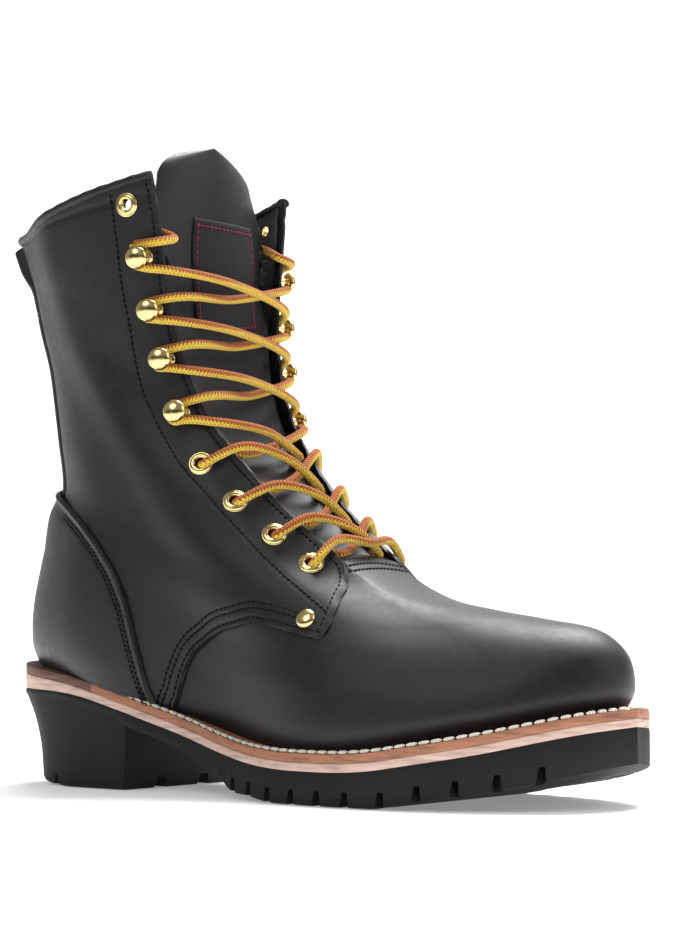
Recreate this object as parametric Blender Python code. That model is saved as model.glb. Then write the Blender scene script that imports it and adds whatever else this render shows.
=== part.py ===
"""Lace-up logger work boot, right foot, eight inch shaft, standing on its lugged sole."""
import bmesh
import bpy
import numpy as np

MM = 0.001

# Driving sizes, in millimetres
LENGTH = 312.0
ORIGIN_FROM_HEEL = 60.0
BALL_WIDTH = 112.6
SHAFT_RISE = 195.0
SOLE_TOP = 43.0
WELT_STACK = 7.2
WELT_THICKNESS = 3.6
GAP = 0.3
OVERLAY_GAP = 0.5
LINING_WALL = 1.9
QUARTER_STEP = 1.3
COUNTER_THICKNESS = 1.6
TONGUE_THICKNESS = 2.4
INSOLE_THICKNESS = 2.8
TONGUE_GAP = 1.6
THROAT_DIP = 8.0
COLLAR_DIP = 9.5
TONGUE_CROWN = 14.5
TONGUE_CURL = 5.0
HEEL_BREAST = 81.5
LUG_GAP = 4.4
LUG_DEPTH = 6.0
LUG_REACH = 13.0
HEEL_NOTCH_WIDTH = 3.0
HEEL_NOTCH_DEPTH = 3.6
HEEL_NOTCH_REACH = 9.0
BREAST_NOTCH_WIDTH = 7.0
BREAST_NOTCH_DEPTH = 4.5
BREAST_NOTCH_REACH = 22.0
EYELET_DIAMETER = 10.6
EYELET_BORE = 4.8
HOOK_DIAMETER = 11.2
HOOK_BASE = 1.0
RIVET_DIAMETER = 8.4
LACE_DIAMETER = 4.3
CROSS_LIFT = 1.8
HOOK_SIDE = 5.7
BINDING_DIAMETER = 3.6
BACKSTAY_THICKNESS = 2.6
LABEL_THICKNESS = 0.8

# Outline of the sole: share of length, share of half ball width, heel to toe
LATERAL_EDGE = [
    (0.0, 0.0), (0.02, 0.40), (0.06, 0.58), (0.13, 0.68), (0.22, 0.70), (0.34, 0.70), (0.44, 0.78),
    (0.56, 0.96), (0.64, 1.0), (0.74, 0.965), (0.84, 0.80), (0.92, 0.56), (0.97, 0.30), (1.0, -0.10),
]
MEDIAL_EDGE = [
    (0.0, 0.0), (0.02, 0.38), (0.06, 0.56), (0.13, 0.65), (0.22, 0.66), (0.34, 0.60), (0.44, 0.62),
    (0.56, 0.78), (0.66, 0.96), (0.74, 1.0), (0.84, 0.93), (0.92, 0.76), (0.97, 0.54), (1.0, 0.10),
]

# Places of the heel's notches, as shares of HEEL_BREAST along the sides and of half BALL_WIDTH at the front
HEEL_NOTCHES = (0.27, 0.466)
BREAST_NOTCH_SHARE = 0.249

# Side view of the sole: share of length, share of SOLE_TOP
SOLE_TOP_LINE = [
    (0.0, 1.0), (0.18, 0.92), (0.25, 0.80), (0.33, 0.65), (0.39, 0.54), (0.465, 0.41), (0.525, 0.345),
    (0.575, 0.317), (0.65, 0.31), (0.74, 0.353), (0.77, 0.39), (0.87, 0.52), (0.95, 0.66), (1.0, 0.745),
]
SOLE_UNDER_LINE = [
    (0.0, 0.93), (0.18, 0.86), (0.25, 0.72), (0.28, 0.60), (0.30, 0.57), (0.37, 0.415), (0.415, 0.31), (0.452, 0.22),
    (0.47, 0.11), (0.52, 0.045), (0.575, 0.0), (0.73, 0.0), (0.77, 0.055), (0.835, 0.13), (0.90, 0.215),
    (0.975, 0.355), (1.0, 0.41),
]
# Height of midsole and welt together: share of length, share of WELT_STACK
STACK_LINE = [(0.0, 1.65), (0.08, 1.3), (0.19, 1.02), (0.32, 1.0), (1.0, 1.0)]

# Loops of the upper from feather line to collar.
# x columns are shares of LENGTH, rises of SHAFT_RISE, half widths and swings of half BALL_WIDTH.
#  back x, back rise, front x, front rise, heel, waist, ball, toe, swing waist, ball, toe
LOOPS = [
    (0.008, 0.000, 0.971, 0.000, 0.610, 0.550, 0.880, 0.655, -0.05, -0.01, 0.10),
    (0.000, 0.055, 0.984, 0.048, 0.665, 0.585, 0.925, 0.700, -0.05, -0.01, 0.10),
    (0.003, 0.128, 0.975, 0.118, 0.680, 0.605, 0.895, 0.640, -0.05, -0.01, 0.10),
    (0.018, 0.225, 0.935, 0.180, 0.670, 0.640, 0.825, 0.550, -0.035, 0.01, 0.10),
    (0.038, 0.328, 0.861, 0.229, 0.640, 0.685, 0.755, 0.480, -0.02, 0.02, 0.08),
    (0.065, 0.431, 0.774, 0.275, 0.610, 0.710, 0.710, 0.430, 0.0, 0.027, 0.06),
    (0.056, 0.533, 0.682, 0.333, 0.580, 0.725, 0.670, 0.405, 0.0, 0.027, 0.045),
    (0.046, 0.626, 0.609, 0.410, 0.550, 0.740, 0.650, 0.395, 0.0, 0.018, 0.035),
    (0.037, 0.708, 0.516, 0.518, 0.520, 0.750, 0.650, 0.430, 0.0, 0.018, 0.018),
    (0.020, 0.790, 0.443, 0.646, 0.500, 0.770, 0.665, 0.475, 0.0, 0.0, 0.0),
    (0.006, 0.867, 0.406, 0.785, 0.495, 0.800, 0.740, 0.535, 0.0, 0.0, 0.0),
    (-0.010, 0.933, 0.394, 0.954, 0.505, 0.840, 0.810, 0.610, 0.0, 0.0, 0.0),
    (-0.028, 1.000, 0.402, 1.242, 0.530, 0.900, 0.900, 0.700, 0.0, 0.0, 0.0),
]
STATIONS = (0.15, 0.42, 0.68, 0.88)
THROAT_ROW = 6.62
TONGUE_ROW = 6.1
COLLAR_ROW = 11.93

# Seams over the upper: row, angle from the front in radians
QUARTER_EDGE = [
    (0.0, 1.90), (0.65, 1.87), (1.83, 1.79), (2.75, 1.665), (3.23, 1.555), (3.55, 1.43), (3.78, 1.27),
    (3.95, 1.19), (4.6, 1.06), (5.28, 0.935), (6.0, 0.75), (6.62, 0.56),
]
FACING_EDGE = [
    (6.62, 0.56), (7.2, 0.613), (8.0, 0.65), (8.4, 0.70), (8.85, 0.75), (9.5, 0.757), (10.0, 0.768),
    (10.8, 0.778), (11.2, 0.785), (11.6, 0.81), (12.0, 0.86),
]
# Fastenings on the lateral side, top to bottom: kind, row, angle from the front
FASTENINGS = [
    ("eyelet", 11.70, 1.06), ("hook", 11.19, 0.955), ("hook", 10.53, 0.93), ("hook", 9.73, 0.945),
    ("hook", 8.77, 1.025), ("eyelet", 7.85, 1.12), ("eyelet", 7.28, 1.06), ("eyelet", 6.76, 0.96),
    ("eyelet", 6.17, 0.87),
]
RIVET_PLACE = (4.12, 1.20)
BACKSTAY_EDGE = [
    (4.9, 2.70), (6.0, 2.655), (7.0, 2.63), (8.0, 2.575), (9.0, 2.535), (10.0, 2.525), (11.0, 2.535),
    (12.0, 2.57),
]
COUNTER_FRONT = [(0.0, 1.955), (1.2, 1.975), (1.9, 1.995), (2.6, 2.012), (3.1, 2.034)]
COUNTER_TOP = [(2.034, 3.1), (2.136, 3.78), (2.231, 4.02), (2.474, 4.32), (2.64, 4.55), (3.1416, 4.75)]


def curve(x, table):
    """Smooth curve through the table's points, read at x."""
    xs, ys = (np.array(c, float) for c in zip(*table))
    x = np.clip(np.asarray(x, float), xs[0], xs[-1])
    slope = np.diff(ys) / np.diff(xs)
    step = np.diff(xs)
    m = np.empty(len(xs))
    m[0], m[-1] = slope[0], slope[-1]
    m[1:-1] = (slope[:-1] * step[1:] + slope[1:] * step[:-1]) / (step[1:] + step[:-1])
    flat = slope[:-1] * slope[1:] <= 0
    m[1:-1][flat] = 0
    i = np.clip(np.searchsorted(xs, x, side="right") - 1, 0, len(xs) - 2)
    t = (x - xs[i]) / step[i]
    return (
        (1 + 2 * t) * (1 - t) ** 2 * ys[i]
        + t * (1 - t) ** 2 * step[i] * m[i]
        + t * t * (3 - 2 * t) * ys[i + 1]
        + t * t * (t - 1) * step[i] * m[i + 1]
    )


def sole_top(x):
    return SOLE_TOP * curve(np.asarray(x) / LENGTH, SOLE_TOP_LINE)


def sole_under(x):
    return SOLE_TOP * curve(np.asarray(x) / LENGTH, SOLE_UNDER_LINE)


def welt_top(x):
    return sole_top(x) + WELT_STACK * curve(np.asarray(x) / LENGTH, STACK_LINE)


def edge_line(table, side, count):
    """One side of the sole's outline, count points spaced evenly along it."""
    key = np.array([(a * LENGTH, b * BALL_WIDTH / 2) for a, b in table])
    run = np.r_[0, np.cumsum(np.hypot(*np.diff(key, axis=0).T))]
    at = np.linspace(0, run[-1], count)
    x = curve(at, list(zip(run, key[:, 0])))
    y = curve(at, list(zip(run, key[:, 1])))
    return np.c_[x, side * y]


def loops_at(row):
    """Columns of LOOPS at a row between two of its loops."""
    rows = range(len(LOOPS))
    return [curve(row, list(zip(rows, c))) for c in zip(*LOOPS)]


def station_weights(s):
    """Share that each station's width has at s, back 0 to front 1."""
    out = []
    for k in range(4):
        unit = [1.0 if j == k else 0.0 for j in range(4)]
        knots = [(-0.1, unit[0])] + list(zip(STATIONS, unit)) + [(1.1, unit[3])]
        out.append(curve(s, knots))
    return out


def bare_point(row, angle):
    """Point on the leather's outer face, angle 0 front, pi back, lateral side between."""
    row, angle = np.broadcast_arrays(np.asarray(row, float), np.asarray(angle, float))
    c = loops_at(row)
    s = (1 + np.cos(angle)) / 2
    w = station_weights(s)
    half = sum(
        w[k] * c[4 + k] / (2 * np.sqrt(STATIONS[k] * (1 - STATIONS[k]))) for k in range(4)
    )
    swing = w[1] * c[8] + w[2] * c[9] + w[3] * c[10]
    x = LENGTH * (c[0] + (c[2] - c[0]) * s)
    z = welt_top(x) + GAP + SHAFT_RISE * (c[1] + (c[3] - c[1]) * s)
    z = z - COLLAR_DIP * curve(row, [(10.3, 0.0), (12.0, 1.0)]) * 6.75 * s * (1 - s) ** 2
    turn = np.minimum(angle % (2 * np.pi), -angle % (2 * np.pi))
    inside = np.clip(1 - (turn / curve(np.maximum(row, THROAT_ROW), FACING_EDGE)) ** 2, 0, 1)
    x = x - THROAT_DIP * curve(row, [(5.0, 0.0), (THROAT_ROW, 1.0), (12.0, 1.0)]) * inside
    y = BALL_WIDTH / 2 * (swing - np.sin(angle) * half)
    return np.stack([x, y, z], -1)


def facing_normal(row, angle):
    row, angle = np.broadcast_arrays(np.asarray(row, float), np.asarray(angle, float))
    top = np.minimum(row + 0.02, len(LOOPS) - 1)
    low = np.maximum(row - 0.02, 0)
    up = bare_point(top, angle) - bare_point(low, angle)
    round_ = bare_point(row, angle + 0.01) - bare_point(row, angle - 0.01)
    n = np.cross(up, round_)
    return n / np.linalg.norm(n, axis=-1, keepdims=True)


def skin(row, angle, out):
    """Point at a distance out from the leather's outer face, kept above the welt."""
    p = bare_point(row, angle) + np.asarray(out)[..., None] * facing_normal(row, angle)
    p[..., 2] = np.maximum(p[..., 2], welt_top(p[..., 0]) + GAP)
    return p


def make_object(name, points, faces, material):
    mesh = bpy.data.meshes.new(name)
    placed = (np.asarray(points) - (ORIGIN_FROM_HEEL, 0, 0)) * MM
    mesh.from_pydata(placed.tolist(), [], [list(map(int, f)) for f in faces])
    obj = bpy.data.objects.new(name, mesh)
    bpy.context.scene.collection.objects.link(obj)
    work = bmesh.new()
    work.from_mesh(mesh)
    bmesh.ops.remove_doubles(work, verts=work.verts, dist=0.00002)
    bmesh.ops.triangulate(work, faces=work.faces)
    bmesh.ops.recalc_face_normals(work, faces=work.faces)
    work.to_mesh(mesh)
    work.free()
    mesh.materials.append(material)
    return obj


def make_material(name, colour, rough, metallic=0.0):
    mat = bpy.data.materials.new(name)
    mat.use_nodes = True
    shader = mat.node_tree.nodes["Principled BSDF"]
    shader.inputs["Base Color"].default_value = (*colour, 1.0)
    shader.inputs["Roughness"].default_value = rough
    shader.inputs["Metallic"].default_value = metallic
    return mat


def thicken(faces, outer, inner):
    """Closed body between two sheets that share their faces."""
    n = len(outer)
    edges = {(f[i], f[(i + 1) % len(f)]) for f in faces for i in range(len(f))}
    rim = [e for e in edges if (e[1], e[0]) not in edges]
    walls = [(b, a, a + n, b + n) for a, b in sorted(rim)]
    under = [tuple(i + n for i in reversed(f)) for f in faces]
    return np.vstack([outer, inner]), list(faces) + under + walls


def grid_faces(ids):
    """Quads of a table of vertex numbers, rows upward, columns from front to back."""
    ids = np.asarray(ids)
    return [
        (ids[i, j], ids[i, j + 1], ids[i + 1, j + 1], ids[i + 1, j])
        for i in range(ids.shape[0] - 1)
        for j in range(ids.shape[1] - 1)
    ]


def patch(row, angle, out_low, out_high):
    """Closed overlay over tables of rows and angles, between two distances out."""
    ids = np.arange(row.size).reshape(row.shape)
    outer = skin(row, angle, np.full(row.shape, 1.0) * out_high).reshape(-1, 3)
    inner = skin(row, angle, np.full(row.shape, 1.0) * out_low).reshape(-1, 3)
    return thicken(grid_faces(ids), outer, inner)


def plate(lateral, medial, top, under):
    """Flat layer between two height lines inside an outline."""
    n = len(lateral)
    both = np.vstack([lateral, medial])
    high = np.c_[both, top(both[:, 0])]
    low = np.c_[both, under(both[:, 0])]
    faces = grid_faces(np.array([range(n), range(n, 2 * n)]))
    return thicken(faces, high, low)


def boolean(target, cutter, operation):
    mod = target.modifiers.new(operation.lower(), "BOOLEAN")
    mod.operation = operation
    mod.solver = "EXACT"
    mod.object = cutter
    cutter.hide_render = True
    cutter.display_type = "WIRE"


def add_upper(material):
    """Vamp and quarters as one hollow shell, open at collar, throat and underneath."""
    vamp_cols, quarter_cols = 9, 11
    low_rows = [0, 0.6, 1.3, 2.1, 2.8, 3.3, 3.6, 3.8, 4.0, 4.35, 4.7, 5.0, 5.8, THROAT_ROW]
    high_rows = [7.2, 7.8, 8.4, 9.0, 9.6, 10.2, 10.7, 11.1, 11.5, COLLAR_ROW]
    rows, angles, outs, grid = [], [], [], []

    def add(row, angle, out):
        rows.append(row)
        angles.append(angle)
        outs.append(out)
        return len(rows) - 1

    for row in low_rows:
        edge = float(curve(row, QUARTER_EDGE))
        vamp = [edge * k / vamp_cols for k in range(vamp_cols + 1)]
        rest = np.linspace(edge + 0.012, np.pi, quarter_cols + 1)
        left = [add(row, a, 0.0) for a in vamp] + [add(row, a, QUARTER_STEP) for a in rest]
        right = [add(row, 2 * np.pi - a, QUARTER_STEP) for a in rest[-2::-1]]
        right += [add(row, 2 * np.pi - a, 0.0) for a in vamp[:0:-1]] + [left[0]]
        grid.append(left + right)
    faces = grid_faces(grid)
    keep = grid[-1][vamp_cols + 1:-(vamp_cols + 1)]
    grid = [keep]
    for row in high_rows:
        edge = float(curve(row, FACING_EDGE)) + 0.012
        rest = np.linspace(edge, np.pi, quarter_cols + 1)
        left = [add(row, a, QUARTER_STEP) for a in rest]
        grid.append(left + [add(row, 2 * np.pi - a, QUARTER_STEP) for a in rest[-2::-1]])
    faces += grid_faces(grid)
    outer = skin(np.array(rows), np.array(angles), np.array(outs))
    inner = skin(np.array(rows), np.array(angles), np.full(len(rows), -LINING_WALL))
    points, faces = thicken(faces, outer, inner)
    obj = make_object("upper", points, faces, material)
    boolean(obj, add_eyelet_holes(material), "DIFFERENCE")
    return obj


def add_eyelet_holes(material):
    """Round holes through the facings for the eyelets' barrels."""
    radius = EYELET_BORE / 2 + 0.4 + GAP
    points, faces = [], []
    for kind, row, angle in FASTENINGS:
        if kind != "eyelet":
            continue
        for turn in (angle, 2 * np.pi - angle):
            centre, normal = spot(row, turn, 0.0)
            p, f = turned([(radius, -5.0), (radius, 5.0)], centre, normal, 10)
            faces.extend(tuple(i + len(points) for i in g) for g in f)
            points.extend(p)
    return make_object("eyelet_holes", points, faces, material)


def middle_y(row):
    return BALL_WIDTH / 2 * loops_at(row)[10]


def tongue_sheet(t, side, out):
    """Tongue face: t up the tongue 0..1, side -1..1 across it, out from its inner face."""
    row = TONGUE_ROW + t * (COLLAR_ROW - TONGUE_ROW)
    edge = curve(np.maximum(row, THROAT_ROW), FACING_EDGE)
    angle = side * (edge + 0.13 - curve(t, [(0.0, 0.0), (0.88, 0.0), (1.0, 0.38)]))
    inset = LINING_WALL + TONGUE_GAP + TONGUE_THICKNESS
    depth = bare_point(row, 0.0)[..., 0] - bare_point(row, edge)[..., 0]
    top_gap = curve(t, [(0.0, 0.0), (0.74, 0.0), (0.87, 3.6), (1.0, 3.6)])
    base = skin(row, np.abs(angle), out - inset - top_gap)
    base[..., 1] = np.where(angle < 0, 2 * middle_y(row) - base[..., 1], base[..., 1])
    share = curve(t, [(0.0, 0.0), (0.08, 0.22), (0.2, 0.55), (0.35, 0.8), (0.6, 1.0), (1.0, 1.0)])
    flat = 1 - np.clip(np.abs(angle) / edge, 0, 1) ** 2
    base[..., 0] -= share * np.maximum(depth - TONGUE_GAP - top_gap, 0) * flat
    base[..., 0] -= TONGUE_CURL * curve(t, [(0.0, 0.0), (0.8, 0.0), (1.0, 1.0)]) * side**2
    return base


def add_tongue(material):
    """Tongue under both facings, with a rounded top standing above the collar."""
    cols, rows = 11, 15
    side, t = np.meshgrid(np.linspace(-1, 1, cols), np.linspace(0, 1, rows))
    outer = tongue_sheet(t, side, TONGUE_THICKNESS)
    inner = tongue_sheet(t, side, 0.0)
    crown = []
    for k in range(1, 6):
        a = k / 5 * np.pi / 2
        shrink = max(np.cos(a), 0.12)
        rise = TONGUE_CROWN * np.sin(a)
        for sheet in (outer, inner):
            last = sheet[rows - 1]
            mid = last[cols // 2]
            line = mid + (last - mid) * [0.55 + 0.45 * shrink, shrink, 1]
            line[:, 2] += rise
            line[:, 0] -= rise * 0.12
            crown.append(line)
    outer = np.concatenate([outer, crown[0::2]])
    inner = np.concatenate([inner, crown[1::2]])
    ids = np.arange(outer.shape[0] * cols).reshape(-1, cols)
    points, faces = thicken(grid_faces(ids), outer.reshape(-1, 3), inner.reshape(-1, 3))
    return make_object("tongue", points, faces, material)


def add_label(material):
    """Bare patch on the middle of the tongue."""
    t, side = np.meshgrid(np.linspace(0.77, 0.945, 6), np.linspace(-0.60, 0.40, 7), indexing="ij")
    low = TONGUE_THICKNESS + GAP + 0.1
    outer = tongue_sheet(t, side, low + LABEL_THICKNESS).reshape(-1, 3)
    inner = tongue_sheet(t, side, low).reshape(-1, 3)
    points, faces = thicken(grid_faces(np.arange(t.size).reshape(t.shape)), outer, inner)
    return make_object("tongue_label", points, faces, material)


def add_counter(material):
    """Heel pocket lying over the quarters, from one side round the back to the other."""
    cols, rows = 9, 6
    row = np.empty((rows, cols))
    angle = np.empty((rows, cols))
    tops = np.array(COUNTER_TOP)
    run = np.linspace(0, 1, cols)
    along = np.linspace(tops[0, 0], np.pi, cols)
    front_rows = np.linspace(0, tops[0, 1], rows)
    for i in range(rows):
        v = i / (rows - 1)
        front_angle = float(curve(front_rows[i], COUNTER_FRONT))
        for j in range(cols):
            u = run[j]
            top_row = float(curve(along[j], COUNTER_TOP))
            angle[i, j] = (1 - u) * front_angle + u * np.pi
            angle[i, j] += v * (along[j] - ((1 - u) * tops[0, 0] + u * np.pi))
            row[i, j] = v * top_row
    row = np.hstack([row, row[:, -2::-1]])
    angle = np.hstack([angle, 2 * np.pi - angle[:, -2::-1]])
    low = QUARTER_STEP + OVERLAY_GAP + GAP + 0.1
    points, faces = patch(row, angle, low, low + COUNTER_THICKNESS)
    return make_object("counter", points, faces, material)


def add_backstay(material):
    """Strip up the back seam, thicker at the top where it folds into the pull flap."""
    rows = np.array([5.0, 5.8, THROAT_ROW, 7.2, 7.8, 8.4, 9.0, 9.6, 10.2, 10.7, 11.1, 11.5, 11.72])
    row, across = np.meshgrid(rows, np.linspace(-1, 1, 9), indexing="ij")
    angle = np.pi + across * (np.pi - curve(row, BACKSTAY_EDGE))
    low = QUARTER_STEP + OVERLAY_GAP
    flap = curve(row, [(4.9, 0.0), (10.0, 0.0), (11.0, 2.4), (11.72, 2.8)])
    points, faces = patch(row, angle, low, low + BACKSTAY_THICKNESS + flap)
    return make_object("backstay", points, faces, material)


def add_binding(material):
    """Rolled edge standing on the collar from one facing round the back to the other."""
    radius = BINDING_DIAMETER / 2
    edge = float(curve(COLLAR_ROW, FACING_EDGE)) + 0.012
    angle = np.linspace(edge, 2 * np.pi - edge, 27)
    centre = skin(COLLAR_ROW, angle, np.full(27, (QUARTER_STEP - LINING_WALL) / 2))
    out = facing_normal(COLLAR_ROW, angle)
    out[:, 2] = 0
    out /= np.linalg.norm(out, axis=1, keepdims=True)
    centre[:, 2] += radius + GAP + 0.15
    turn = np.linspace(0, 2 * np.pi, 7)[:-1]
    rings = [
        c + radius * (np.outer(np.cos(turn), o) + np.outer(np.sin(turn), [0, 0, 1]))
        for c, o in zip(centre, out)
    ]
    points, faces = loft(rings)
    return make_object("collar_binding", points, faces, material)


def loft(rings):
    """Closed body through rings of the same number of points, with flat ends."""
    n = len(rings[0])
    faces = [tuple(range(n)), tuple(range((len(rings) - 1) * n, len(rings) * n))]
    for k in range(len(rings) - 1):
        for i in range(n):
            j = (i + 1) % n
            faces.append((k * n + i, k * n + j, (k + 1) * n + j, (k + 1) * n + i))
    return np.vstack(rings), faces


def spot(row, angle, out, up=0.0):
    """Point over the leather, moved up along its face, with the face's normal."""
    angle = angle % (2 * np.pi)
    normal = facing_normal(row, angle)
    rise = bare_point(row + 0.05, angle) - bare_point(row - 0.05, angle)
    rise /= np.linalg.norm(rise)
    return skin(row, angle, out) + up * rise, normal


def turned(profile, centre, normal, sides=8, ring=False):
    """Body turned from a profile of radius and height; ring joins its last point to its first."""
    first = np.cross(normal, [0.0, 1.0, 0.3])
    first /= np.linalg.norm(first)
    second = np.cross(normal, first)
    points, faces = [], []
    n = len(profile)
    for k in range(sides):
        a = 2 * np.pi * k / sides
        for radius, height in profile:
            points.append(
                centre + normal * height + radius * (np.cos(a) * first + np.sin(a) * second)
            )
    for k in range(sides):
        j = (k + 1) % sides
        for i in range(n if ring else n - 1):
            m = (i + 1) % n
            faces.append((k * n + i, k * n + m, j * n + m, j * n + i))
    if not ring:
        faces.append(tuple(k * n for k in range(sides)))
        faces.append(tuple(k * n + n - 1 for k in range(sides)))
    return np.array(points), faces


def add_eyelet(name, row, angle, material):
    centre, normal = spot(row, angle, QUARTER_STEP + OVERLAY_GAP + 0.2)
    bore, out = EYELET_BORE / 2, EYELET_DIAMETER / 2
    barrel = bore + 0.4
    deep = -(QUARTER_STEP + LINING_WALL) + 0.2
    profile = [(bore, deep), (barrel, deep), (barrel, 0.0), (out, 0.0), (out - 0.9, 1.1), (bore, 1.0)]
    points, faces = turned(profile, centre, normal, 10, True)
    return make_object(name, points, faces, material)


def add_hook(name, row, angle, material):
    centre, normal = spot(row, angle, QUARTER_STEP + OVERLAY_GAP)
    out = HOOK_DIAMETER / 2
    neck = 1.9
    room = HOOK_BASE + LACE_DIAMETER + 0.7
    profile = [
        (out - 1.6, 0.0), (out - 1.6, HOOK_BASE - 0.2), (neck, HOOK_BASE), (neck, room), (out, room + 0.4),
        (out - 0.9, room + 2.0), (1.4, room + 2.9),
    ]
    points, faces = turned(profile, centre, normal)
    return make_object(name, points, faces, material)


def add_rivet(name, row, angle, material):
    centre, normal = spot(row, angle, QUARTER_STEP + GAP)
    out = RIVET_DIAMETER / 2
    profile = [(out, 0.0), (out, 0.4), (out * 0.8, 1.3), (out * 0.4, 1.8)]
    points, faces = turned(profile, centre, normal)
    return make_object(name, points, faces, material)


def smooth_path(marks, count):
    """Evenly spaced points on a smooth curve through the marks."""
    marks = np.array(marks)
    run = np.r_[0, np.cumsum(np.linalg.norm(np.diff(marks, axis=0), axis=1))]
    fine = np.linspace(0, run[-1], 400)
    tangents = np.gradient(marks, run, axis=0)
    i = np.clip(np.searchsorted(run, fine, side="right") - 1, 0, len(run) - 2)
    h = (run[i + 1] - run[i])[:, None]
    t = ((fine - run[i])[:, None]) / h
    dense = (
        (1 + 2 * t) * (1 - t) ** 2 * marks[i]
        + t * (1 - t) ** 2 * h * tangents[i]
        + t * t * (3 - 2 * t) * marks[i + 1]
        + t * t * (t - 1) * h * tangents[i + 1]
    )
    length = np.r_[0, np.cumsum(np.linalg.norm(np.diff(dense, axis=0), axis=1))]
    at = np.linspace(0, length[-1], count)
    return np.stack([np.interp(at, length, dense[:, k]) for k in range(3)], 1)


def make_cord(name, marks, count, material):
    """Round cord along a smooth curve through the marks."""
    path = smooth_path(marks, count)
    data = bpy.data.curves.new(name, "CURVE")
    data.dimensions = "3D"
    data.bevel_depth = LACE_DIAMETER / 2 * MM
    data.bevel_resolution = 2
    data.use_fill_caps = True
    line = data.splines.new("POLY")
    line.points.add(count - 1)
    for point, place in zip(line.points, path):
        x, y, z = (place - (ORIGIN_FROM_HEEL, 0, 0)) * MM
        point.co = (x, y, z, 1.0)
    obj = bpy.data.objects.new(name, data)
    bpy.context.scene.collection.objects.link(obj)
    data.materials.append(material)
    return obj


def add_insole(material):
    angle = np.linspace(np.pi, 0.0, 34)
    lateral = skin(0.15, angle, np.full(34, -LINING_WALL - 2.4))[:, :2]
    medial = skin(0.15, 2 * np.pi - angle, np.full(34, -LINING_WALL - 2.4))[:, :2]
    points, faces = plate(
        lateral,
        medial,
        lambda x: welt_top(x) + GAP + INSOLE_THICKNESS,
        lambda x: welt_top(x) + GAP,
    )
    return make_object("insole", points, faces, material)


def add_layer(name, material, low, high):
    """Layer of the sole stack between two heights above the outsole's top."""
    lateral = edge_line(LATERAL_EDGE, -1, 44)
    medial = edge_line(MEDIAL_EDGE, 1, 44)
    points, faces = plate(lateral, medial, high, low)
    return make_object(name, points, faces, material)


def heel_rings():
    """Heel block, tapered and hollowed at the back, rings from top to tread."""
    back = [(0.0, 0.0), (0.27, 6.0), (0.54, 9.8), (1.0, 12.0)]
    rings = []
    for t in (0.0, 0.14, 0.27, 0.42, 0.6, 0.8, 1.0):
        lat = edge_line(LATERAL_EDGE, -1, 90)
        med = edge_line(MEDIAL_EDGE, 1, 90)
        lat = lat[lat[:, 0] <= 84.0]
        med = med[med[:, 0] <= 84.0]
        far = min(len(lat), len(med))
        lat, med = lat[:far], med[:far]
        line = np.vstack([lat[::-1], med[1:]])
        inset = float(curve(t, back))
        breast = 84.0 + (HEEL_BREAST - 84.0) * t
        x = inset + line[:, 0] * (breast - inset) / line[0, 0]
        y = line[:, 1] * (1 - 0.05 * t)
        tread = 4.0 * np.clip((48 - x) / 36, 0, 1) ** 1.6
        z = (sole_top(x) - 1.6) * (1 - t) + tread * t
        rings.append(np.c_[x, y, z])
    return rings


def add_heel(material):
    rings = heel_rings()
    n = len(rings[0])
    points = np.vstack(rings)
    faces = []
    for k in range(len(rings) - 1):
        for i in range(n):
            j = (i + 1) % n
            faces.append((k * n + i, k * n + j, (k + 1) * n + j, (k + 1) * n + i))
    faces.append(tuple(range(n)))
    faces.append(tuple(range((len(rings) - 1) * n, len(rings) * n)))
    return make_object("heel_block", points, faces, material)


def notch(at, inward, width, depth, reach):
    """Wedge cut into the tread from its edge, open below and outside."""
    side = np.array([-inward[1], inward[0]])
    points = []
    for along in (-3.0, reach):
        for across, up in ((-0.62, -5.0), (0.62, -5.0), (0.62, 0.0), (0.3, depth), (-0.38, depth)):
            p = at[:2] + inward * along + side * across * width
            points.append((p[0], p[1], at[2] + up))
    faces = [(0, 1, 2, 3, 4), (9, 8, 7, 6, 5)]
    faces += [(i, (i + 1) % 5, (i + 1) % 5 + 5, i + 5) for i in range(5)]
    return points, faces


def add_notches(material):
    """All gaps between the lugs of forefoot and heel as one cutter."""
    shares = (0.485, 0.522, 0.562, 0.604, 0.646, 0.692, 0.742, 0.79, 0.838, 0.885, 0.93)
    points, faces = [], []

    def place(at, inward, width, depth, reach):
        p, f = notch(np.array(at), np.array(inward), width, depth, reach)
        faces.extend(tuple(i + len(points) for i in g) for g in f)
        points.extend(p)

    for table, side in ((LATERAL_EDGE, -1), (MEDIAL_EDGE, 1)):
        line = edge_line(table, side, 400)
        for share in shares:
            i = int(np.abs(line[:, 0] - share * LENGTH).argmin())
            tangent = line[min(i + 3, 399)] - line[max(i - 3, 0)]
            tangent /= np.linalg.norm(tangent)
            inward = np.array([tangent[1], -tangent[0]]) * side
            z = float(sole_under(line[i, 0]))
            place((line[i, 0], line[i, 1], z), inward, LUG_GAP, LUG_DEPTH, LUG_REACH)
        for share in HEEL_NOTCHES:
            x = share * HEEL_BREAST
            y = float(np.interp(x, line[:, 0], line[:, 1])) * 0.92
            place((x, y, 1.2), (0.35, -side * 0.94), HEEL_NOTCH_WIDTH, HEEL_NOTCH_DEPTH, HEEL_NOTCH_REACH)
    for side in (-1, 1):
        y = side * BREAST_NOTCH_SHARE * BALL_WIDTH / 2
        place((HEEL_BREAST, y, 0.0), (-1.0, 0.0), BREAST_NOTCH_WIDTH, BREAST_NOTCH_DEPTH, BREAST_NOTCH_REACH)
    return make_object("lug_gaps", points, faces, material)


def add_outsole(material):
    obj = add_layer("outsole", material, sole_under, sole_top)
    boolean(obj, add_heel(material), "UNION")
    boolean(obj, add_notches(material), "DIFFERENCE")
    return obj


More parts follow.
